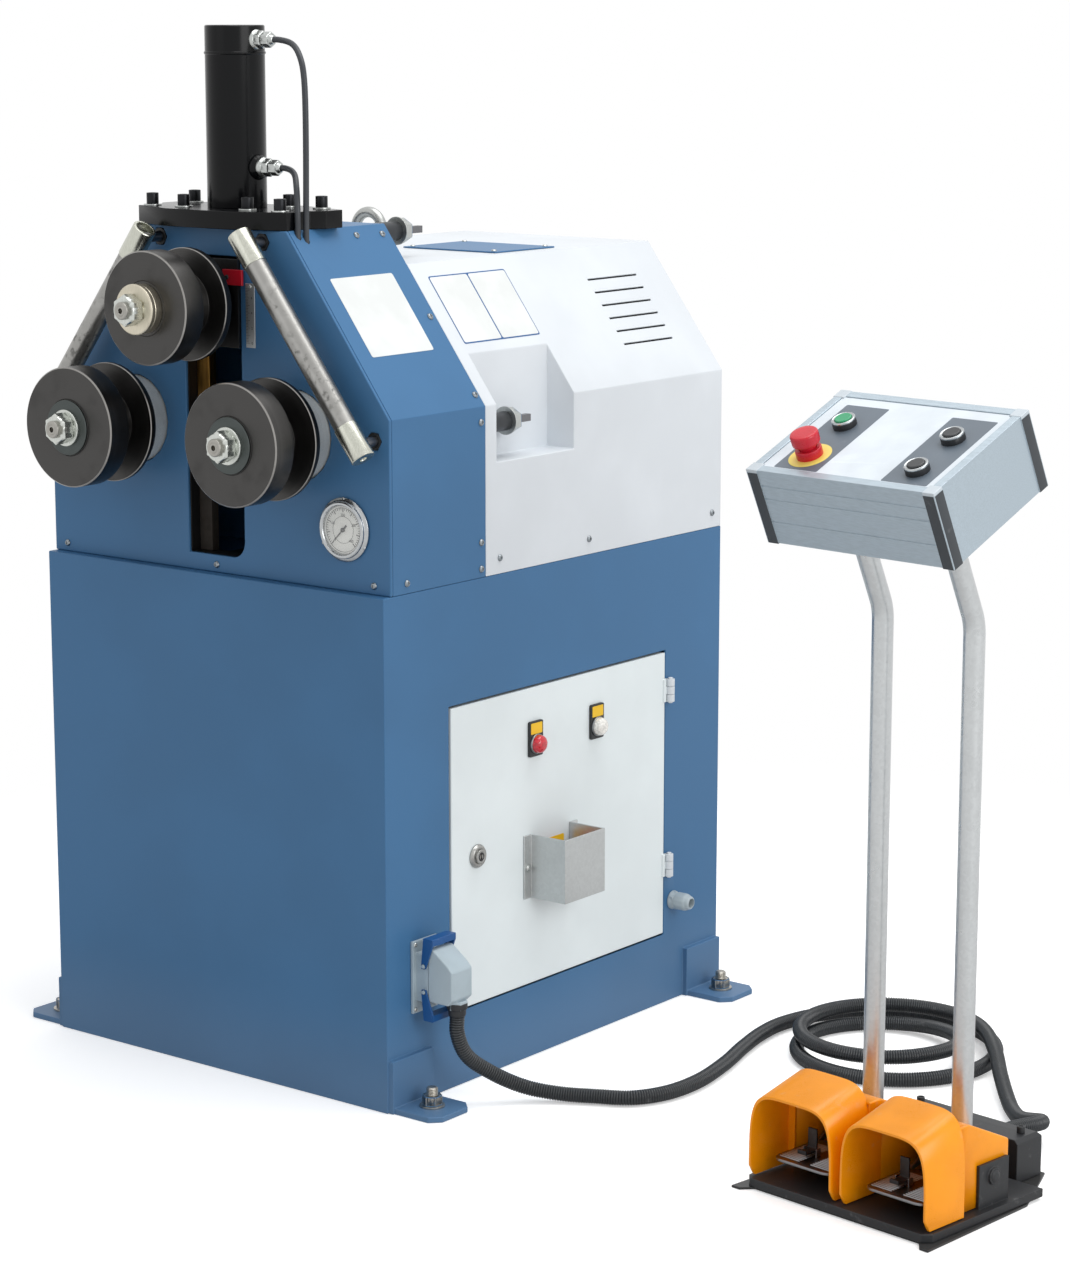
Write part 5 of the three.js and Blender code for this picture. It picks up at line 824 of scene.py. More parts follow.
class ROLLER_OT_stage(Maker, bpy.types.Operator):
    """Adds the pale floor, the soft lights and the camera."""
    bl_idname = "roller.stage"
    bl_label = "Stage"

    def make(self):
        bpy.context.scene.view_settings.view_transform = "Standard"
        self.camera()
        for name, values in LAMPS.items():
            self.lamp(name, *values)
        self.world()
        self.floor()

    def camera(self):
        """The focal length is known in pixels of a picture 1280 pixels high."""
        data = bpy.data.cameras.new("camera")
        data.sensor_fit = "VERTICAL"
        data.sensor_height = SENSOR
        data.lens = FOCAL_LENGTH / PICTURE_HEIGHT * SENSOR
        data.clip_end = 100
        camera = placed("camera", data)
        camera.location = CAMERA_PLACE
        camera.rotation_euler = (math.radians(90 - CAMERA_DOWN), 0, math.radians(CAMERA_TURN))
        bpy.context.scene.camera = camera

    def lamp(self, name, place, aim, size, power):
        """A square soft light that points from its place at its aim."""
        data = bpy.data.lights.new(name, "AREA")
        data.size = size
        data.energy = power
        obj = placed(name, data)
        obj.location = place
        obj.rotation_euler = (Vector(aim) - Vector(place)).to_track_quat("-Z", "Y").to_euler()

    def world(self):
        """White for the eye, for gloss and through glass; a softer grey for the light on the object."""
        world = bpy.data.worlds.new("studio")
        bpy.context.scene.world = world
        w = Tree(world)
        camera, glossy, clear = (w.add("ShaderNodeLightPath", output=f"Is {ray} Ray")
                                 for ray in ("Camera", "Glossy", "Transmission"))
        seen = camera.work("MAXIMUM", camera.work("MAXIMUM", camera, glossy), clear)
        level = w.add("ShaderNodeMapRange", {}, {"Value": seen, "To Min": 0.62, "To Max": 1.0})
        sky = w.add("ShaderNodeBackground", {}, {"Color": (1, 1, 1, 1), "Strength": level})
        w.add("ShaderNodeOutputWorld", {}, {"Surface": sky})

    def floor(self):
        """White near the object, where it takes the shadow, and clear further out."""
        f = Finish("floor")
        seen = f.add("ShaderNodeLightPath", output="Is Camera Ray")
        tone = f.mix(seen, (0.62, 0.62, 0.62), (0.97, 0.97, 0.97))
        glow = f.mix(seen, (0.3, 0.3, 0.3), (1, 1, 1))
        x = f.axis("X") - 0.35
        y = f.axis("Y") + 0.05
        far = ((x * x + y * y) ** 0.5).between(1.1, 1.9)
        near = f.add("ShaderNodeBsdfPrincipled", {},
                     {"Base Color": tone, "Roughness": 0.9, "Specular IOR Level": 0.0, "Emission Color": glow,
                      "Emission Strength": 0.34})
        clear = f.add("ShaderNodeBsdfTransparent")
        blend = f.add("ShaderNodeMixShader", {}, {0: far, 1: near, 2: clear})
        f.add("ShaderNodeOutputMaterial", {}, {"Surface": blend})
        mesh = bpy.data.meshes.new("floor")
        mesh.from_pydata([(*corner, 0) for corner in box(-30, 30, -30, 30)], [], [(0, 1, 2, 3)])
        mesh.materials.append(f.material)
        obj = placed("floor", mesh)
        obj.location.z = -0.0004


# Hose and plug

PLUG = (366, -304, 0)
HOSE_START = (*PLUG[:2], 128)
HOSE_DROP = [(366, -304, 104), (373, -293, 72), (393, -266, 45), (424, -232, 22), (462, -203, 12.5)]
HOSE_FLOOR = [(505, -178), (545, -155), (570, -112), (577, -48), (563, 40), (541, 120), (527, 185)]
HOSE_BACK = [(866, 262, 31), (905, 208, 22), (945, 155, 15), (982, 108, 14), (1016, 72, 20)]
HOSE_END = [(26, 229.7, 31), (26, 164, 38), (26, 140, 38)]
SPIRAL_CENTRE = (702, 240)
SPIRAL_TURNS = 2.39
INWARD_TURNS = 1.35
SPIRAL_RADII = (178, 100, 140)
LOWER_LAYER = 10.9
LAYER_STEP = 22.8


def hose_route():
    """The route of the hose: down from the plug, along the floor, round the spiral, up and over it, and
    into the box. On the spiral the radius runs in and out again and the height steps up by one layer."""
    outer, inner, last = SPIRAL_RADII
    turns = np.linspace(0, SPIRAL_TURNS, 39)
    inward = np.clip(turns / INWARD_TURNS, 0, 1)
    outward = np.clip((turns - INWARD_TURNS) / (SPIRAL_TURNS - INWARD_TURNS), 0, 1)
    radius = outer + (inner - outer) * inward + (last - inner) * outward
    climb = np.clip((turns - 1.1) / 0.5, 0, 1)
    climb = climb * climb * (3 - 2 * climb)
    angle = np.pi - 2 * np.pi * turns
    x, y = SPIRAL_CENTRE
    spiral = np.stack([x + radius * np.cos(angle), y + radius * np.sin(angle),
                       LOWER_LAYER + LAYER_STEP * climb], axis=1)
    on_floor = [(*point, LOWER_LAYER) for point in HOSE_FLOOR]
    ends = Shape(HOSE_END, []).at(PEDESTAL).points
    return np.vstack([[HOSE_START], HOSE_DROP, on_floor, spiral, HOSE_BACK, ends])


class ROLLER_OT_hose(Maker, bpy.types.Operator):
    """Adds the corrugated hose and the plug on its end."""
    bl_idname = "roller.hose"
    bl_label = "Hose and plug"

    def make(self):
        """Each rib of the hose is four rings, whose radius follows a rounded wave."""
        path, run = spaced(curve_through(hose_route()), 2400)
        pitch = sizes().hose_pitch / MM
        count = int(run / pitch) * 4
        rings, run = spaced(path, count + 1)
        wave = np.tile([0.0, 0.75, 1.0, 0.75], count // 4 + 1)[:count + 1]
        section = (8.9 + 1.6 * wave)[:, None, None] * circle(1, 14)
        ribs = swept(rings, section, (0, 1, 0))
        hose = make("hose", ribs, "hose_plastic", "corrugated_hose", whole=True, sharp=80)
        hood = dressed("plug_hood", "hood_casting", 0.0022, [((350, -325, 110), (382, -283, 147.9))])
        gland = [(9.5, 147), (14, 147), (14, 139), (12, 138), (12, 131), (10.8, 128.3), (9.5, 128.3)]
        gland = turned(gland, "z", PLUG, 0.8) + nut(14.2, 139.5, 146.5, "z", PLUG, 9.5)
        collar = make("plug_gland", gland, "black_plastic", "plug_hood")


# Cabinet and door

FEET = [(x, y) for x in (-350, 350) for y in (-338, 338)]
SIDE = 310
DOOR_FACE = 311.3
BEHIND_DOOR = -30.3
HINGE = (316.5, 250, 0)
HINGE_HEIGHTS = (212, 475)


def knuckles(spans):
    """Hinge tubes, each between two heights given from the middle of its hinge."""
    return total(turned(rod(6.08, middle + low, middle + high), "z", HINGE, 0.4, 32)
                 for middle in HINGE_HEIGHTS for low, high in spans)


class ROLLER_OT_cabinet(Maker, bpy.types.Operator):
    """Adds the painted cabinet with its feet, anchors and hinges."""
    bl_idname = "roller.cabinet"
    bl_label = "Cabinet"

    def make(self):
        anchors = [((x - 18, y - 18, 8.2), (x + 18, y + 18, 40)) for x, y in FEET]
        dressed("base_cabinet", "blue_paint", sizes().sheet_edge, anchors)
        nuts = total(washer(8.4, 17, 8, 10.6, "z", (x, y, 0)) + nut(13.8, 10.6, 23.5, "z", (x, y, 0), 7)
                     + stud(8, 8, 35, "z", (x, y, 0)) for x, y in FEET)
        make("anchors", nuts, "anchor_steel", "base_cabinet", sharp=40)
        pin = [(0, -19), (3, -19), (3.4, -17), (3.4, 17), (3, 19), (0, 19)]
        pins = total(turned(pin, "z", (*HINGE[:2], middle), 0.3, 24) for middle in HINGE_HEIGHTS)
        make("cabinet_hinges", knuckles([(-17, -6.2), (6.2, 17)]) + pins, "white_paint", "base_cabinet")


class ROLLER_OT_door(Maker, bpy.types.Operator):
    """Adds the door with its lamps, lock, guard and main switch."""
    bl_idname = "roller.door"
    bl_label = "Door"

    def make(self):
        dressed("cabinet_door", "door_paint", sizes().sheet_edge)
        make("door_hinges", knuckles([(-5.6, 5.6)]), "white_paint", "cabinet_door")
        self.lock()
        self.lamp("lamp_red", -66, "red_lens")
        self.lamp("lamp_white", 75, "white_lens")
        self.guard()
        self.switch()

    def lock(self):
        """The lock with its rosette and the two rings of its key way."""
        where = (DOOR_FACE, -193, 317)
        dressed("door_lock", "lock_steel", 0.0004)
        rosette = [(10.3, 0), (16.6, 0), (16.6, 2), (14, 5.3), (10.3, 5.3), (10.3, 0)]
        make("lock_rosette", turned(rosette, "x", where, 0.7), "lock_steel", "door_lock")
        for name, inner, outer, look in (("lock_insert", 6.3, 10.1, "lock_steel"),
                                         ("lock_key", 3.5, 6.2, "black_plastic")):
            make(name, turned(ring(inner, outer, 5, 8.1), "x", where, 0.4), look, "door_lock")

    def lamp(self, node, y, look):
        """A holder with a yellow tag, a ring round a dome, and the barrel behind the door."""
        face = DOOR_FACE
        where = (face, y, 452)
        holder = prism(rounded(y - 15, y + 15, 434, 484, 3), face, face + 4, "x")
        make(f"{node}_holder", holder, "black_plastic", node, whole=True, edge=0.0006)
        tag = prism(rounded(y - 12.5, y + 12.5, 466, 481.5, 1.5), face + 3.9, face + 4.3, "x")
        make(f"{node}_tag", tag, "yellow_label", node)
        bezel = [(10.5, 4), (14.2, 4), (14.2, 6), (13.2, 7), (12.8, 7), (12.8, 4)]
        make(f"{node}_ring", turned(bezel, "x", where, 0.6), "ring_metal", node)
        dome = [(0, 4), (12.7, 4), (12.7, 11), (11.4, 14.5), (7.8, 17.2), (3.5, 18), (0, 18)]
        make(f"{node}_dome", turned(dome, "x", where, 2.0), look, node)
        make(f"{node}_barrel", turned(rod(10.4, BEHIND_DOOR, 2), "x", where, 0.5), "black_plastic", node)

    def guard(self):
        """The galvanised guard round the main switch, with its two screws."""
        drop = [((313, y - 11, 270), (322, y + 11, 284)) for y in (-81, 21)]
        dressed("switch_guard", "guard_zinc", 0.0009, drop)
        spots = [(313.8, y, 277) for y in (-83.5, 23.5)]
        screws = total(round_screw(4.6, 2.8, 0, "x", spot) + washer(4.5, 6.4, -0.1, 0.7, "x", spot)
                       for spot in spots)
        make("guard_screws", screws, "zinc_plated", "switch_guard")

    def switch(self):
        """The red knob of the main switch, its stem and the yellow plate behind it."""
        where = (DOOR_FACE, -30, 278)
        disc = turned([(0, 0), (24, 0), (24, 5), (21, 8), (0, 8)], "x", where, 1.2)
        grip = prism(rounded(-37, -23, 256, 300, 6), DOOR_FACE + 7, DOOR_FACE + 30, "x")
        make("switch_knob", disc + grip, "switch_red", "main_switch", whole=True, edge=0.0012)
        make("switch_stem", turned(rod(5, BEHIND_DOOR, 1), "x", where, 0.5), "bright_steel", "main_switch")
        plate = prism(rounded(-62, 2, 246, 310, 3), 310.9, 311.25, "x")
        make("switch_plate", plate, "yellow_label", "cabinet_door")


class ROLLER_OT_connector(Maker, bpy.types.Operator):
    """Adds the connector with its levers, and the mains gland."""
    bl_idname = "roller.connector"
    bl_label = "Connector and gland"

    def make(self):
        dressed("connector_base", "hood_casting", 0.0008, split=True)
        for lever in ("upper", "lower"):
            dressed(f"plug_lever_{lever}", "lever_plastic", 0.0008, split=True)
        screws = total(round_screw(3.4, 2.4, 314.3, "x", (0, y, z)) for y in (-329, -287) for z in (133, 223))
        make("connector_screws", screws, "zinc_plated", "connector_base")
        where = (310.3, 268, 154)
        body = [(7, -16.6), (10, -16.6), (10, 0), (14, 0), (14, 1.5), (11.5, 8), (11.5, 27), (9.5, 33),
                (7, 35), (7, -16.6)]
        cap = [(10, 10), (13, 10), (13, 24), (11.5, 28), (10, 28)]
        hexes = nut(14, 1, 9, "x", where, 8) + nut(13.6, -10.6, -4.6, "x", where, 8)
        gland = turned(body, "x", where, 1.0) + hexes + turned(cap, "x", where, 0.8, flats=12, flat_at=12.6)
        make("mains_gland", gland, "gland_grey", "cable_gland", whole=True)


# Head

FRONT = -368.3
SLOPE_NORMAL = np.array([0.8027, 0, 0.5963])
SLOPE_FOOT = 931
SLOPE_FALL = 0.7426
SEATED_FALL = 0.743
SLOPE_SCREWS = [(-238, 1154), (-186, 1153), (-182, 1046), (-179, 946)]
SIDE_SCREWS = [(-180, 910), (-180, 748), (-180, 712), (-335, 714)]
FRONT_SCREWS = [(-286, 712), (282, 712), (1, 711)]
REAR_SCREWS = [(-140, 722), (60, 722), (360, 722)]
ROD_HOLES = [(93, 1150), (284, 902)]


def cover_screws(places):
    """Domed screws on the right side of the covers."""
    return total(round_screw(4.8, 3, SIDE, "x", (0, y, z)) for y, z in places)


def slope_plate(name, look, rides, along_y, between_z, lift):
    """A thin plate with round corners on the right slope, where x = 310 - 0.7426 (z - 931)."""
    outline = rounded(*along_y, *between_z, 3)
    flat = np.column_stack([SIDE - SLOPE_FALL * (outline[:, 1] - SLOPE_FOOT), outline])
    plate = grid(np.stack([flat + SLOPE_NORMAL * 0.05, flat + SLOPE_NORMAL * lift]), capped=True)
    make(name, plate, look, rides)


class ROLLER_OT_head(Maker, bpy.types.Operator):
    """Adds the roll stand: covers, bearing bosses, guide strips, screws and a blank plate."""
    bl_idname = "roller.head"
    bl_label = "Head"

    def make(self):
        edge = sizes().plate_edge
        bosses = [((x - 66, -404.5, 833), (x + 66, -362.6, 965)) for x in (-148, 148)]
        at_rod_holes = [((side * x - 15.6, -175.4, z - 15.6), (side * x + 15.6, -92.9, z + 15.6))
                  for side in (-1, 1) for x, z in ROD_HOLES]
        dressed("head_frame", "blue_paint_slotted", edge, bosses + at_rod_holes, split=True)
        dressed("front_cover", "blue_paint", sizes().sheet_edge)
        dressed("side_cover_left", "blue_paint", edge)
        dressed("side_cover_right", "blue_paint", edge)
        dressed("guide_strip", "bronze_strip", edge)
        boss = [(26, -403.5), (52, -403.5), (60, -400), (60, -358), (26, -358), (26, -403.5)]
        for name, x in (("left", -148), ("right", 148)):
            make(f"boss_{name}", turned(boss, "y", (x, 0, 899), 1.5), "boss_steel", "head_frame")
        strip = slab(35.2, 53, -346.7, -333, 724.4, 1128.6)
        make("steel_strip", strip, "strip_steel", "head_frame", edge=0.0006)
        self.screws()
        slope_plate("front_sign", "sign_plate", "side_cover_right", (-335, -210), (1006, 1104), 0.5)

    def screws(self):
        """Domed screws square to the sheet that they hold; those on the slope sit a little deeper in it."""
        basis = (Y, np.cross(SLOPE_NORMAL, Y), SLOPE_NORMAL)
        right = total(round_screw(4.8, 3, 0, basis, (SIDE - SEATED_FALL * (z - SLOPE_FOOT), y, z))
                      for y, z in SLOPE_SCREWS) + cover_screws(SIDE_SCREWS)
        make("cover_screws_right", right, "screw_steel", "side_cover_right")
        make("cover_screws_left", right.flipped(), "screw_steel", "side_cover_left")
        front = total(round_screw(4.8, 3, -368, "y", (x, 0, z), -1) for x, z in FRONT_SCREWS)
        make("front_screws", front, "screw_steel", "front_cover")


# Carriage, cylinder and pipes

CYLINDER_Y = -314
CYLINDER = (0, CYLINDER_Y, 0)


class ROLLER_OT_carriage(Maker, bpy.types.Operator):
    """Adds the slide block with its pointer, the piston rod and the scale."""
    bl_idname = "roller.carriage"
    bl_label = "Carriage and scale"

    def make(self):
        dressed("slide_block", "slide_steel", sizes().plate_edge)
        pointer = slab(27.5, 62.4, -375.6, -371.6, 1091.6, 1112.4)
        make("red_pointer", pointer, "pointer_red", "slide_block", edge=0.0008)
        screw = round_screw(3.4, 2, -375.6, "y", (36, 0, 1102), -1)
        make("pointer_screw", screw, "black_plastic", "slide_block")
        piston = [(0, 1126.3), (21, 1126.3), (22.5, 1128), (22.5, 1382), (33.4, 1382), (33.4, 1408),
                  (0, 1408)]
        make("chrome_rod", turned(piston, "z", CYLINDER, 0.8), "rod_chrome", "piston_rod", whole=True)
        self.scale()

    def scale(self):
        """A steel rule with ticks: each tick is a thin slab, and every fifth is longer."""
        rule = slab(64, 80, FRONT - 1.9, FRONT, 1010, 1095)
        make("scale_rule", rule, "rule_metal", "position_scale", whole=True, edge=0.0004)
        ticks = total(slab(64.4, 64.4 + (7 if i % 5 == 0 else 4), FRONT - 2.02, FRONT - 1.8, z - 0.2, z + 0.2)
                      for i, z in enumerate(np.arange(1016, 1090, 2.0)))
        make("scale_ticks", ticks, "ink", "position_scale")
        for i in range(0, 8, 2):
            spot = shift_by(75, FRONT - 2.05, 1016 + 10 * i) @ UPRIGHT
            written(f"scale_figure_{i}", str(i), 5, spot, "ink", "position_scale")
        screw = round_screw(3, 1.6, FRONT - 1.9, "y", (72, 0, 1091), -1)
        make("scale_screw", screw, "zinc_plated", "position_scale")


class ROLLER_OT_cylinder(Maker, bpy.types.Operator):
    """Adds the hydraulic cylinder, its top plate with cap screws, and the two pipes."""
    bl_idname = "roller.cylinder"
    bl_label = "Cylinder and pipes"

    def make(self):
        barrel = [(23, 1190.3), (40, 1190.3), (40, 1391.4), (41, 1392.4), (41.4, 1393.6), (41, 1394.8),
                  (40, 1396), (40, 1428.6), (38.4, 1430), (0, 1430), (0, 1416), (34, 1416), (34, 1204.3),
                  (23, 1204.3), (23, 1190.3)]
        make("cylinder", turned(barrel, "z", CYLINDER, 0.5, 96), "black_paint", "cylinder_barrel", whole=True)
        spots = [(x, y) for x in (-116, -58, 58, 116) for y in (-357, -275)]
        drop = [((x - 10, y - 10, 1190.2), (x + 10, y + 10, 1210)) for x, y in spots]
        dressed("top_plate", "black_paint", sizes().plate_edge, drop)
        heads = total(cap_screw(8.2, 1192, 1207, "z", (x, y, 0)) for x, y in spots)
        make("cap_screws", heads, "black_oxide", "top_plate")
        rings = total(washer(7, 12, 1190, 1192, "z", (x, y, 0)) for x, y in spots)
        make("cap_washers", rings, "zinc_plated", "top_plate")
        self.pipe("lower_pipe", 1244, 139.5, -349, 46)
        self.pipe("upper_pipe", 1411, 143.5, -337, 36)
        boss = turned([(0, 37), (17, 37), (17, 41), (14, 46.5), (0, 46.5)], "x", (0, CYLINDER_Y, 1244), 0.8)
        make("lower_port", boss, "black_paint", "cylinder_barrel")

    def pipe(self, node, z, x, y, seat):
        """A pipe out of the barrel at height z: its bends are shares of its way to (x, y) and of 42 down."""
        shares = np.array([(0.15, 0, 0), (0.55, 0.3, 0.14), (0.85, 0.75, 0.55), (1, 1, 1.2)])
        out = seat + 33
        bends = np.array([x - out, y - CYLINDER_Y, -42]) * shares + (out, CYLINDER_Y, z)
        route = np.vstack([[(out - 14, CYLINDER_Y, z)], bends, [(x, y, 1163), (x, y, 1142)]])
        path, _ = spaced(curve_through(route), 90)
        make(f"{node}_tube", tube(path, 4), "pipe_grey", node, whole=True)
        where = (seat, CYLINDER_Y, z)
        fitting = (turned([(0, 0), (13.5, 0), (13.5, 4), (11, 7), (0, 7)], "x", where, 0.8)
                   + nut(12, 6.5, 17, "x", where, 3.5) + nut(10.5, 18, 30, "x", where, 3.5)
                   + turned([(4.05, 29), (7.5, 29), (5, 34), (4.05, 34.5)], "x", where, 0.4))
        make(f"{node}_fitting", fitting, "zinc_plated", node)


# Rolls and shafts

ROLLS = {"lower_left": (-148, 899), "lower_right": (148, 899), "upper": (0, 1067)}
SHAFT_END = -495.3

for roll, (axis_x, axis_z) in ROLLS.items():
    lathe = (axis_x * MM, axis_z * MM)
    LOOKS[f"{roll}_roll_steel"] = ("dark_steel", turned_metal, "4d4c4b", 0.36, lathe)
    LOOKS[f"{roll}_disc_steel"] = ("turned_steel", turned_metal, "4f5453", 0.34, lathe)


class ROLLER_OT_rolls(Maker, bpy.types.Operator):
    """Adds the rolls, their shafts, collars and nuts, and the drive pinion."""
    bl_idname = "roller.rolls"
    bl_label = "Rolls"

    def make(self):
        for name, (x, z) in ROLLS.items():
            self.roll(name, x, z)
        dressed("drive_pinion", "gear_steel", 0.0005)

    def roll(self, name, x, z):
        """Both halves of a roll, then the end and the bar of its shaft."""
        upper = name == "upper"
        centre = (x, 0, z)
        radius, hole, line = (75, 20.4, 36.7) if upper else (81, 25.4, 38.6)
        disc, step, back = (11, 44, -375.6) if upper else (8, 76, -405)
        front = [(hole, -495), (line - 0.9, -495), (line - 0.5, -494.2), (line, -495), (radius - 1.6, -495),
                 (radius, -493.4), (radius, -461.5), (radius - 2.5, -459), (44, -459), (44, -439.2),
                 (hole, -439.2), (hole, -495)]
        rear = [(hole, -438.8), (44, -438.8), (44, -419), (radius - 1.2, -419), (radius, -417.8),
                (radius, -419 + disc - 1.2), (radius - 1.2, -419 + disc), (step, -419 + disc), (step, back),
                (hole, back), (hole, -438.8)]
        for part, profile, ease in (("front", front, 0.5), ("rear", rear, 0.4)):
            make(f"{name}_{part}", turned(profile, "y", centre, ease, 120), f"{name}_roll_steel",
                 f"{name}_roll_{part}", whole=True)
        self.edges(name, centre, radius)
        self.end(name, x, z, upper)
        if upper:
            bar = turned(rod(20, -494, -300), "y", centre, 1.0)
            make("upper_bar", bar, "shaft_steel", "upper_shaft", whole=True)
        else:
            drop = [((x - 32, -545, z - 32), (x + 32, -200, z + 32))]
            dressed(f"{name}_shaft", "gear_steel", 0.0005, drop)
            bar = turned(rod(25, -494, -132), "y", centre, 1.0)
            make(f"{name}_bar", bar, "shaft_steel", f"{name}_shaft")

    def edges(self, name, centre, radius):
        """Lighter steel rings on the roll edges: edges worn bright by the work, and a painted highlight."""
        for part, cut, face in (("front", 1.6, -495), ("rear", 0.9, -419)):
            band = [(radius - cut - 0.1, face), (radius - cut, face - 0.08), (radius + 0.08, face + cut),
                    (radius - 0.5, face + cut + 0.3), (radius - cut - 0.1, face)]
            band = turned(band, "y", centre, 0, 120)
            make(f"{name}_rubbed_{part}", band, "rubbed_edge", f"{name}_roll_{part}")

    def end(self, name, x, z, upper):
        """The collar or washers, the nut and the stud on the front end of a shaft."""
        node = f"{name}_shaft"
        where = (x, SHAFT_END, z)
        seat, nut_long = (-20, 18) if upper else (-7, 17.5)
        if upper:
            collar = [(0, 0), (32.6, 0), (32.6, -11), (31.8, -12), (33.4, -12.6), (33.4, seat + 1.6),
                      (31.8, seat), (0, seat)]
            make("upper_collar", turned(collar, "y", where, 0.5), "collar_zinc", node)
        else:
            disc = [(0, 0), (37.4, 0), (37.4, -2.2), (36.6, -3), (0, -3)]
            make(f"{name}_disc", turned(disc, "y", where, 0.3), f"{name}_disc_steel", node)
            plain_ring = [(0, -3), (24.8, -3), (24.8, seat + 0.8), (24, seat), (0, seat)]
            make(f"{name}_washer", turned(plain_ring, "y", where, 0.3), "plated_nut", node)
        nut_front = seat - nut_long
        tip = nut_front - 6
        make(f"{name}_nut", nut(21.2, nut_front, seat, "y", where, 9), "plated_nut", node)
        end = [(0, nut_front + 2), (11.7, nut_front + 2), (11.7, tip + 1.5), (10.4, tip), (7, tip),
               (6.6, tip + 0.5), (6.2, tip), (3.6, tip), (3.3, tip + 7), (0, tip + 8)]
        make(f"{name}_stud", turned(end, "y", where, 0.3), "stud_steel", node, whole=True)


class ROLLER_OT_guide_bars(Maker, bpy.types.Operator):
    """Adds the two lateral guide bars with their sleeves, rods and nuts."""
    bl_idname = "roller.guide_bars"
    bl_label = "Guide bars"

    def make(self):
        top = np.array([85, -404, 1163.0])
        low = np.array([297, -404, 884.0])
        run = np.linalg.norm(top - low)
        along = (top - low) / run
        basis = (Y, np.cross(along, Y), along)
        middle = turned(rod(15.1, 49, run - 49), basis, low, 0, 64)
        lower = [(0, 3), (4.6, 3), (5, 0), (15.2, 0), (16.3, 1.1), (16.3, 49), (15.6, 49.7), (0, 49.7)]
        upper = [(0, -49.7), (15.6, -49.7), (16.3, -49), (16.3, -1.1), (15.2, 0), (12.4, 0), (12, -16),
                 (0, -16)]
        sleeves = (turned(lower, basis, low, 0.25, 64) + turned(upper, basis, top, 0.25, 64)
                   + turned(rod(6, -17, -9), basis, top, 0.5, 32))
        rods = total(turned(rod(7, -404, -74), "y", (x, 0, z), 0.5, 32) for x, z in ROD_HOLES)
        ends = total(prism(rounded(x - 4.9, x + 4.9, z - 4.9, z + 4.9, 0.8), -79, -45, "y")
                     for x, z in ROD_HOLES)
        parts = (("middle", middle, "bar_scale"), ("sleeves", sleeves, "sleeve_steel"),
                 ("rods", rods + ends, "rod_steel"))
        for side in ("right", "left"):
            for part, right, look in parts:
                shape = right if side == "right" else right.flipped()
                make(f"bar_{side}_{part}", shape, look, f"guide_bar_{side}", whole=part == "middle")
        self.seats([(side * x, 0, z) for side in (-1, 1) for x, z in ROD_HOLES])

    def seats(self, holes):
        """What holds the rods in the head: a sleeve and a nut behind. In front, a black ring fills each hole
        round its rod as painted shade.
        """
        # painted shade: black rings fill the gap of each hole round its rod
        at_rod_holes = total(washer(7.7, 11.4, -368.5, -362, "y", spot) for spot in holes)
        make("rod_hole_shade", at_rod_holes, "black_plastic", "head_frame")
        sleeves = total(turned(ring(7.8, 13.4, -176, -93), "y", spot, 0.6, 40) for spot in holes)
        make("rod_sleeves", sleeves, "sleeve_dark", "head_frame")
        nuts = total(nut(17.4, -93.6, -77.9, "y", spot, 7.8) + washer(7.8, 19.5, -96, -93.4, "y", spot)
                     for spot in holes)
        make("rod_nuts", nuts, "zinc_plated", "head_frame")


# Gauge

GAUGE = (233, FRONT, 782)
DIAL_START = 225
DIAL_SWEEP = 270
DIAL_STEPS = 40


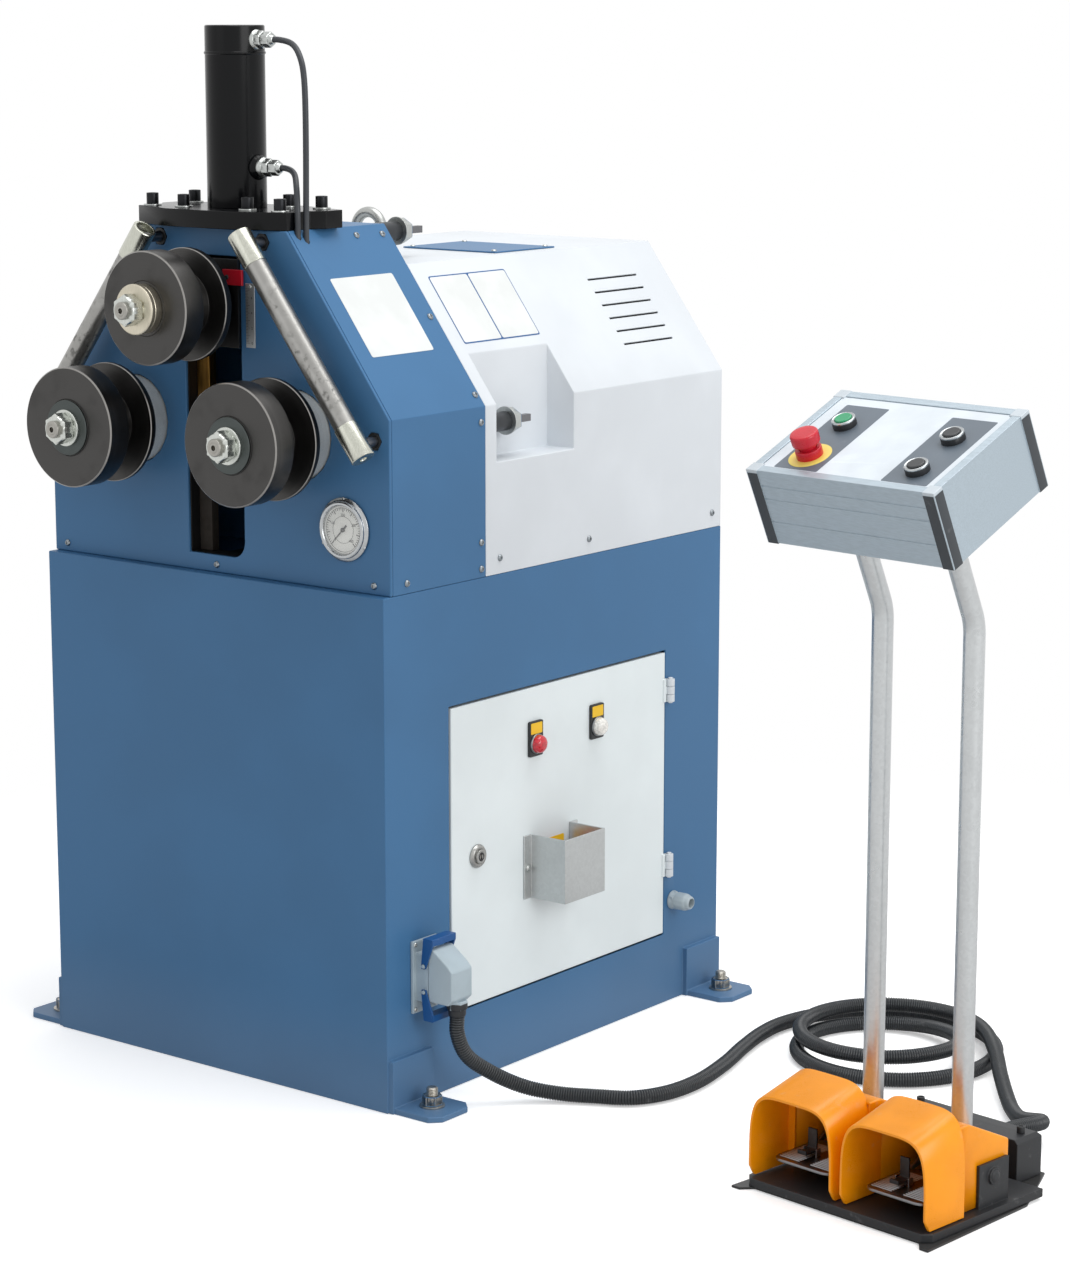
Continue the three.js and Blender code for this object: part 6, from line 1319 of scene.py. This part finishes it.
class ROLLER_OT_gauge(Maker, bpy.types.Operator):
    """Adds the pressure gauge: case, dial with plain figures, pointer and glass."""
    bl_idname = "roller.gauge"
    bl_label = "Gauge"

    def make(self):
        x, face, z = GAUGE
        case = [(33, 0), (42.5, 0), (42.5, -3), (39.5, -5), (38, -5.5), (38, -8), (36.5, -9), (33.5, -9),
                (32.2, -7), (32, -4), (31, -3.5), (31, 0)]
        make("gauge_body", turned(case, "y", GAUGE, 0.6, 96), "gauge_steel", "gauge_case", whole=True)
        body = [(0, -3.9), (32, -3.9), (32, 0), (31, 0), (31, 30), (0, 30)]
        make("gauge_dial", turned(body, "y", GAUGE, 0.5), "dial_white", "gauge_case")
        lugs = total(round_screw(3, 1.6, -3, "y", (x + 40.3 * math.cos(a), face, z + 40.3 * math.sin(a)), -1)
                     for a in (math.pi / 2, math.pi * 7 / 6, math.pi * 11 / 6))
        make("gauge_screws", lugs, "gauge_steel", "gauge_case")
        self.dial(x, face - 4.0, z)
        self.pointer(x, face - 4.5, z)
        make("gauge_glass", turned(rod(32.4, -7.6, -6.6), "y", GAUGE, 0.2), "gauge_glass", "gauge_case")

    def dial(self, x, face, z):
        """Ticks from 225 down to -45 degrees: each is a thin slab between two radii."""
        marks = []
        for i in range(DIAL_STEPS + 1):
            inner, half = (23.5, 0.5) if i % 5 == 0 else (26, 0.25)
            mark = slab(inner, 29, face - 0.25, face + 0.1, -half, half)
            marks.append(mark.at(turn_about("Y", DIAL_SWEEP * i / DIAL_STEPS - DIAL_START)).moved(x, 0, z))
        rings = [turned([(r, -0.2), (r + 0.4, -0.2), (r + 0.4, 0), (r, 0)], "y", (x, face, z), 0)
                 for r in (29.0, 17.5)]
        make("dial_marks", total(marks + rings), "ink", "gauge_case")
        for i in range(0, DIAL_STEPS + 1, 10):
            angle = math.radians(DIAL_START - DIAL_SWEEP * i / DIAL_STEPS)
            spot = shift_by(x + 19.6 * math.cos(angle), face - 0.3, z + 19.6 * math.sin(angle)) @ UPRIGHT
            written(f"dial_figure_{i}", str(i * 10), 5.2, spot, "ink", "gauge_case")

    def pointer(self, x, face, z):
        """A tapered needle on a round hub, at the start of the dial."""
        needle = prism([(-9, -1.4), (26, -0.25), (26, 0.25), (-9, 1.4)], face - 0.8, face - 0.2, "y")
        needle = needle.at(turn_about("Y", -DIAL_START)).moved(x, 0, z)
        hub = turned([(0, 0.4), (3, 0.4), (3, -1.6), (2.2, -2), (0, -2)], "y", (x, face, z), 0.3)
        make("needle", needle + hub, "needle_black", "gauge_pointer", whole=True)


# Rear cover, lifting eye and drive

EYE_Y = -45
ROOF = 1113.3


class ROLLER_OT_rear_cover(Maker, bpy.types.Operator):
    """Adds the white rear cover, its access plate, blank signs and the lifting eye."""
    bl_idname = "roller.rear_cover"
    bl_label = "Rear cover"

    def make(self):
        dressed("rear_cover", "white_paint", sizes().sheet_edge)
        dressed("access_plate", "blue_paint", sizes().plate_edge)
        screws = total(round_screw(4, 2.4, 1115.3, "z", (x, y, 0)) for x in (-8, 141) for y in (60, 177))
        make("access_screws", screws, "zinc_plated", "access_plate")
        right = cover_screws(REAR_SCREWS)
        make("rear_screws", right + right.flipped(), "screw_steel", "rear_cover")
        self.louvres()
        slope_plate("rear_sign_border", "sign_border", "rear_cover", (-143, 22), (1008, 1095), 0.4)
        slope_plate("rear_sign_left", "sign_plate", "rear_cover", (-141.5, -62), (1009.5, 1093.5), 0.55)
        slope_plate("rear_sign_right", "sign_plate", "rear_cover", (-59.5, 20.5), (1009.5, 1093.5), 0.55)
        self.eye()

    def louvres(self):
        """Lips pressed over the upper half of each slot: a thin block laid on the slope at each slot."""
        lips = []
        out, _, up = SLOPE_NORMAL
        for i in range(6):
            x, z = 206.05 + 13.06 * i, 1071 - 17.6 * i
            place = np.array([[up, 0, out, x], [0, 1, 0, 0], [-out, 0, up, z], [0, 0, 0, 1]])
            lips.append(slab(-3.3, 0.1, 191, 311, -2.3, 0.25).at(place))
        right = total(lips)
        make("louvre_lips", right + right.flipped(), "white_paint", "rear_cover", edge=0.0005)

    def eye(self):
        """The ring: a circle of radius 7.5 carried round a circle of radius 24, on a flanged base."""
        thick, reach = 7.5, 24
        turn = np.linspace(0, 2 * np.pi, 65)[:-1]
        section = circle(thick, 24)
        out = np.stack([np.cos(turn), np.zeros(64), np.sin(turn)], 1)[:, None] * (reach + section[:, :1])
        points = out + section[:, 1:] * Y
        points = np.concatenate([points, points[:1]]) + [0, EYE_Y, ROOF + 64 - reach - thick]
        base = [(0, 0), (17.5, 0), (17.5, 3.7), (12, 8.2), (9, 11.7), (0, 12.7)]
        foot = turned(base, "z", (0, EYE_Y, ROOF), 1.2) + turned(rod(8, 1084, 1115), "z", (0, EYE_Y, 0), 0.6)
        make("eye_bolt", grid(points) + foot, "eye_zinc", "lifting_eye", whole=True)


class ROLLER_OT_drive(Maker, bpy.types.Operator):
    """Adds the gear motor, the power unit and the electrical panel inside."""
    bl_idname = "roller.drive"
    bl_label = "Drive inside"

    def make(self):
        dressed("gear_motor", "machine_grey", sizes().plastic_edge)
        dressed("power_unit", "machine_grey", sizes().plastic_edge, split=True)
        dressed("electrical_panel", "panel_zinc", sizes().plate_edge)


# Console

STOP = (-78, -50, LID)
BUTTONS = {"start_button": (-79, 22), "button_up": (88, 18), "button_down": (88, -54)}
STRIPS = {"left": (-110, -44, -82, 67), "right": (53, 120, -82, 65)}


class ROLLER_OT_console(Maker, bpy.types.Operator):
    """Adds the console box with its lid, corner trims, strips and buttons."""
    bl_idname = "roller.console"
    bl_label = "Console"

    def make(self):
        dressed("console_housing", "console_aluminium", 0.0007)
        dressed("console_lid", "lid_paint", 0.0006)
        self.trims()
        self.strips()
        self.buttons()
        self.stop()

    def trims(self):
        """Dark corner pieces with rounded outer edges, under pale caps."""
        half_w, half_d = 141, 96
        corner = [(half_w - 16, half_d + 1.4), (half_w + 1.4, half_d + 1.4), (half_w + 1.4, half_d - 16),
                  (half_w - 0.5, half_d - 16), (half_w - 0.5, half_d - 0.5), (half_w - 16, half_d - 0.5)]
        corner = eased(corner, 2.5, closed=True)
        corners = total(prism(corner * [a, b], -0.2, 98.5) for a in (-1, 1) for b in (-1, 1))
        caps = total(slab(*sorted((a * 125, a * 142.4)), *sorted((b * 80, b * 97.4)), 98.5, 103.1)
                     for a in (-1, 1) for b in (-1, 1))
        make("console_trims", corners.at(CONSOLE), "trim_grey", "console_housing")
        make("console_caps", caps.at(CONSOLE), "cap_grey", "console_housing", edge=0.0012)

    def strips(self):
        """Thin dark strips under the buttons, and the pale ring round the stop button."""
        for side, edges in STRIPS.items():
            strip = prism(rounded(*edges, 2), LID - 0.3, LID + 0.25)
            make(f"strip_{side}", strip.at(CONSOLE), "strip_film", "console_lid")
        label = turned(ring(15, 27, 0, 0.7), "z", STOP, 0.2)
        make("stop_ring", label.at(CONSOLE), "pale_label", "console_lid")

    def buttons(self):
        """Three push buttons, each a coloured cap in a chrome rim on a black base."""
        rims = []
        bases = []
        rim = [(11.2, 8), (15.2, 8), (15, 10), (13.8, 11), (12.6, 10.4), (11.2, 10.4), (11.2, 8)]
        cap = [(0, -24), (10.8, -24), (10.8, 11.4), (9.6, 12.3), (0, 11.6)]
        for node, (u, t) in BUTTONS.items():
            where = (u, t, LID)
            bases.append(turned(ring(11.4, 15, 0, 8), "z", where, 0.4))
            rims.append(turned(rim, "z", where, 0.4))
            make(f"{node}_cap", turned(cap, "z", where, 0.5).at(CONSOLE), f"{node}_plastic", node, whole=True)
        make("button_rims", total(rims).at(CONSOLE), "bezel_metal", "console_lid")
        make("button_bases", total(bases).at(CONSOLE), "black_plastic", "console_lid")

    def stop(self):
        """A round head with an upright side, on a collar of its own colour."""
        collar = [(11.2, 0), (16.4, 0), (16.4, 10.6), (15.6, 11.4), (11.2, 11.4), (11.2, 0)]
        make("stop_collar", turned(collar, "z", STOP, 0.4).at(CONSOLE), "stop_red", "console_lid")
        head = [(0, -24), (10.8, -24), (10.8, 17.6), (16.6, 17.6), (17.4, 19), (17.6, 30.4), (16.2, 32.4),
                (11, 33), (0, 33)]
        make("stop_head", turned(head, "z", STOP, 0.8).at(CONSOLE), "stop_red", "emergency_stop", whole=True)


# Pedestal and foot switch

TUBE_TOP = 728
TUBE_BEND = 70
TUBE_END = 137.5
GUARD_X = 73.5


class ROLLER_OT_pedestal(Maker, bpy.types.Operator):
    """Adds the bent sheet and the two bent tubes of the pedestal."""
    bl_idname = "roller.pedestal"
    bl_label = "Pedestal"

    def make(self):
        """Each tube goes straight up, round a bend through the tilt, and straight on into the console."""
        right = [(130, -157), (143, -172), (156, -172), (148, 35), (96, 142)]
        sheet = prism(right + [(-u, v) for u, v in reversed(right)], 0, 3)
        make("pedestal_sheet", sheet.at(PEDESTAL), "black_paint", "pedestal_frame", whole=True, edge=0.0006)
        tilt = math.radians(TILT)
        bend_from = TUBE_TOP - TUBE_BEND * math.tan(tilt / 2)
        bend = np.linspace(0, tilt, 14)
        back = -TUBE_BEND + TUBE_BEND * np.cos(bend)
        round_part = np.stack([bend * 0, back, bend_from + TUBE_BEND * np.sin(bend)], axis=1)
        end = np.array([0, -math.sin(tilt) * TUBE_END, TUBE_TOP + math.cos(tilt) * TUBE_END])
        straight = np.linspace((0, 0, 2), (0, 0, bend_from), 12, endpoint=False)
        path = np.vstack([straight, round_part, [end]])
        tubes = total(tube(path + [u, 0, 0], 13.45, 36) for u in (-70.5, 70.5))
        make("pedestal_tubes", tubes.at(PEDESTAL), "tube_zinc", "pedestal_frame")


def arch_outline(v, inset):
    """The guard's outline at depth v: u = a cos(t)^0.42 and z = 16 + b sin(t)^0.42, signs kept, where the
    height b grows from the mouth to the back, with straight feet below. One point for each t and each v."""
    t = np.linspace(0.02, np.pi - 0.02, 70)[:, None]
    half = 67.0 - inset
    rise = 112 + 19 * (v + 158) / 75 - inset
    u = half * np.sign(np.cos(t)) * np.abs(np.cos(t)) ** 0.42
    z = 16 + rise * np.sin(t) ** 0.42
    right = [np.stack([half + 0 * v, v, level + 0 * v], 1) for level in (16.0, 23.0, 30.0)]
    left = [row * [-1, 1, 1] for row in reversed(right)]
    arch = np.stack([u, np.broadcast_to(v, u.shape), z], axis=-1)
    return np.concatenate([right, arch, left])


def hood_arch():
    """The arch of one guard: its wall's own outline (v, inset), with a rounded rim, is carried along the
    arch's outline, and the front of each foot is cut back by 9 over its lowest 14."""
    wall = np.array([(-83, 0), (-156.8, 0), (-158, 0.6), (-158.4, 2), (-158, 3.4), (-156.8, 4), (-83, 4)])
    points = arch_outline(wall[:, 0], wall[:, 1])
    clip = np.clip(1 - (points[..., 2] - 16) / 14, 0, 1) * 9
    points[..., 1] = np.maximum(points[..., 1], -158 + clip)
    return grid(points, capped=True)


def hood_step(right):
    """The wall that closes the arch's back round the housing: from the arch's outline inwards to the same
    points held inside the housing's mouth."""
    outer = arch_outline(np.array([-83.0, -86.5]), np.array([1.5, 1.5]))
    ends = (-63, 52.5) if right else (-52.5, 63)
    inner = outer.copy()
    inner[..., 0] = np.clip(inner[..., 0], *ends)
    inner[..., 2] = np.minimum(inner[..., 2], 122)
    return grid(np.concatenate([outer, inner[:, ::-1]], axis=1), capped=True)


def hood_housing(right):
    """The closed back of one guard: an outline carried across, open below and in front."""
    outline = [(-84, 16), (18, 16), (18, 89), (-62, 126), (-84, 126)]
    ends = (-67, 56.5) if right else (-56.5, 67)
    points = np.array([[(u, v, z) for v, z in outline] for u in ends], float)
    index = np.arange(10).reshape(2, 5)
    sides = np.array([[index[0, i], index[0, i + 1], index[1, i + 1], index[1, i]] for i in (1, 2, 3)])
    return Shape(points, [sides, index[:1], index[1:, ::-1]])


class ROLLER_OT_foot_switch(Maker, bpy.types.Operator):
    """Adds the double foot switch: base, guards, pedals, latches and junction box."""
    bl_idname = "roller.foot_switch"
    bl_label = "Foot switch"

    def make(self):
        dressed("foot_switch_base", "black_plastic", sizes().plastic_edge)
        dressed("junction_box", "black_plastic", sizes().plastic_edge)
        for side, name in ((-1, "left"), (1, "right")):
            place = PEDESTAL @ shift_by(side * GUARD_X, 0, 0)
            node = f"pedal_guard_{name}"
            arch = hood_arch() + hood_step(side > 0)
            make(f"guard_arch_{name}", arch.at(place), "amber_plastic", node, whole=True, sharp=50)
            back = hood_housing(side > 0).at(place)
            make(f"guard_back_{name}", back, "amber_plastic", node, edge=0.0025, wall=4)
            self.pedal(name, side)
            dressed(f"latch_{name}", "black_plastic", 0.0007, split=True)
        bolts = total(cap_screw(5.2, 59.8, 69, "z", (u, 110, 0)) for u in (-80, 80))
        make("box_screws", bolts.at(PEDESTAL), "black_plastic", "junction_box")
        pin = np.array([(0, 134), (8, 134), (8, 140), (4, 141.5), (0, 141.5)])
        pins = total(turned(pin * [1, side], "x", (0, -20, 52), 0.5, 32) for side in (-1, 1))
        make("bracket_caps", pins.at(PEDESTAL), "black_plastic", "foot_switch_base")

    def pedal(self, name, side):
        """A round-cornered deck, and a tread on it whose height over depth v is a row of rounded ribs."""
        node = f"pedal_{name}"
        dressed(node, "pedal_metal", 0.0008, [((800, -400, 36.5), (1200, -100, 43))])
        front = eased([(-46.9, -44), (-46.9, -137.6), (46.9, -137.6), (46.9, -44)], 16, 6, closed=True)
        deck = prism(front + [side * GUARD_X, 0], 37, 41.2)
        make(f"deck_{name}", deck.at(PEDESTAL), "pedal_metal", node, edge=0.0012)
        ribs = sizes().pedal_ribs
        v = np.linspace(-129, -60, ribs * 6 + 1)
        height = 41.7 + 0.9 * np.clip(np.sin((v + 129) / 69 * 2 * np.pi * ribs - np.pi / 2) * 1.4, -1, 1)
        line = np.vstack([np.stack([v, height], 1), [(-60, 40), (-129, 40)]])
        for part, low, high in (("inner", -41, -9), ("outer", 9, 41)):
            tread = prism(line, side * GUARD_X + low, side * GUARD_X + high, "x")
            make(f"tread_{part}_{name}", tread.at(PEDESTAL), "pedal_metal", node)


# Sidebar, registering and the run

MAKERS = (
    ROLLER_OT_stage, ROLLER_OT_hose, ROLLER_OT_cabinet, ROLLER_OT_door, ROLLER_OT_connector, ROLLER_OT_head,
    ROLLER_OT_carriage, ROLLER_OT_cylinder, ROLLER_OT_rolls, ROLLER_OT_guide_bars, ROLLER_OT_gauge,
    ROLLER_OT_rear_cover, ROLLER_OT_drive, ROLLER_OT_console, ROLLER_OT_pedestal, ROLLER_OT_foot_switch,
)


class ROLLER_PT_panel(bpy.types.Panel):
    """Lists the pieces of the ring roller."""
    bl_idname = "ROLLER_PT_panel"
    bl_label = "Ring Roller"
    bl_space_type = "VIEW_3D"
    bl_region_type = "UI"
    bl_category = "Ring Roller"

    def draw(self, context):
        for group in (context.scene.roller_sizes, context.scene.roller_colours):
            for key in group.bl_rna.properties.keys():
                if key not in ("rna_type", "name"):
                    self.layout.prop(group, key)
        for maker in MAKERS:
            self.layout.operator(maker.bl_idname)


CLASSES = (RollerSizes, RollerColours, *MAKERS, ROLLER_PT_panel)


def register():
    for item in CLASSES:
        bpy.utils.register_class(item)
    bpy.types.Scene.roller_sizes = PointerProperty(type=RollerSizes)
    bpy.types.Scene.roller_colours = PointerProperty(type=RollerColours)


def unregister():
    del bpy.types.Scene.roller_colours
    del bpy.types.Scene.roller_sizes
    for item in reversed(CLASSES):
        bpy.utils.unregister_class(item)


def main():
    """Makes every piece in order."""
    register()
    for maker in MAKERS:
        group, name = maker.bl_idname.split(".")
        getattr(getattr(bpy.ops, group), name)()


if __name__ == "__main__":
    main()
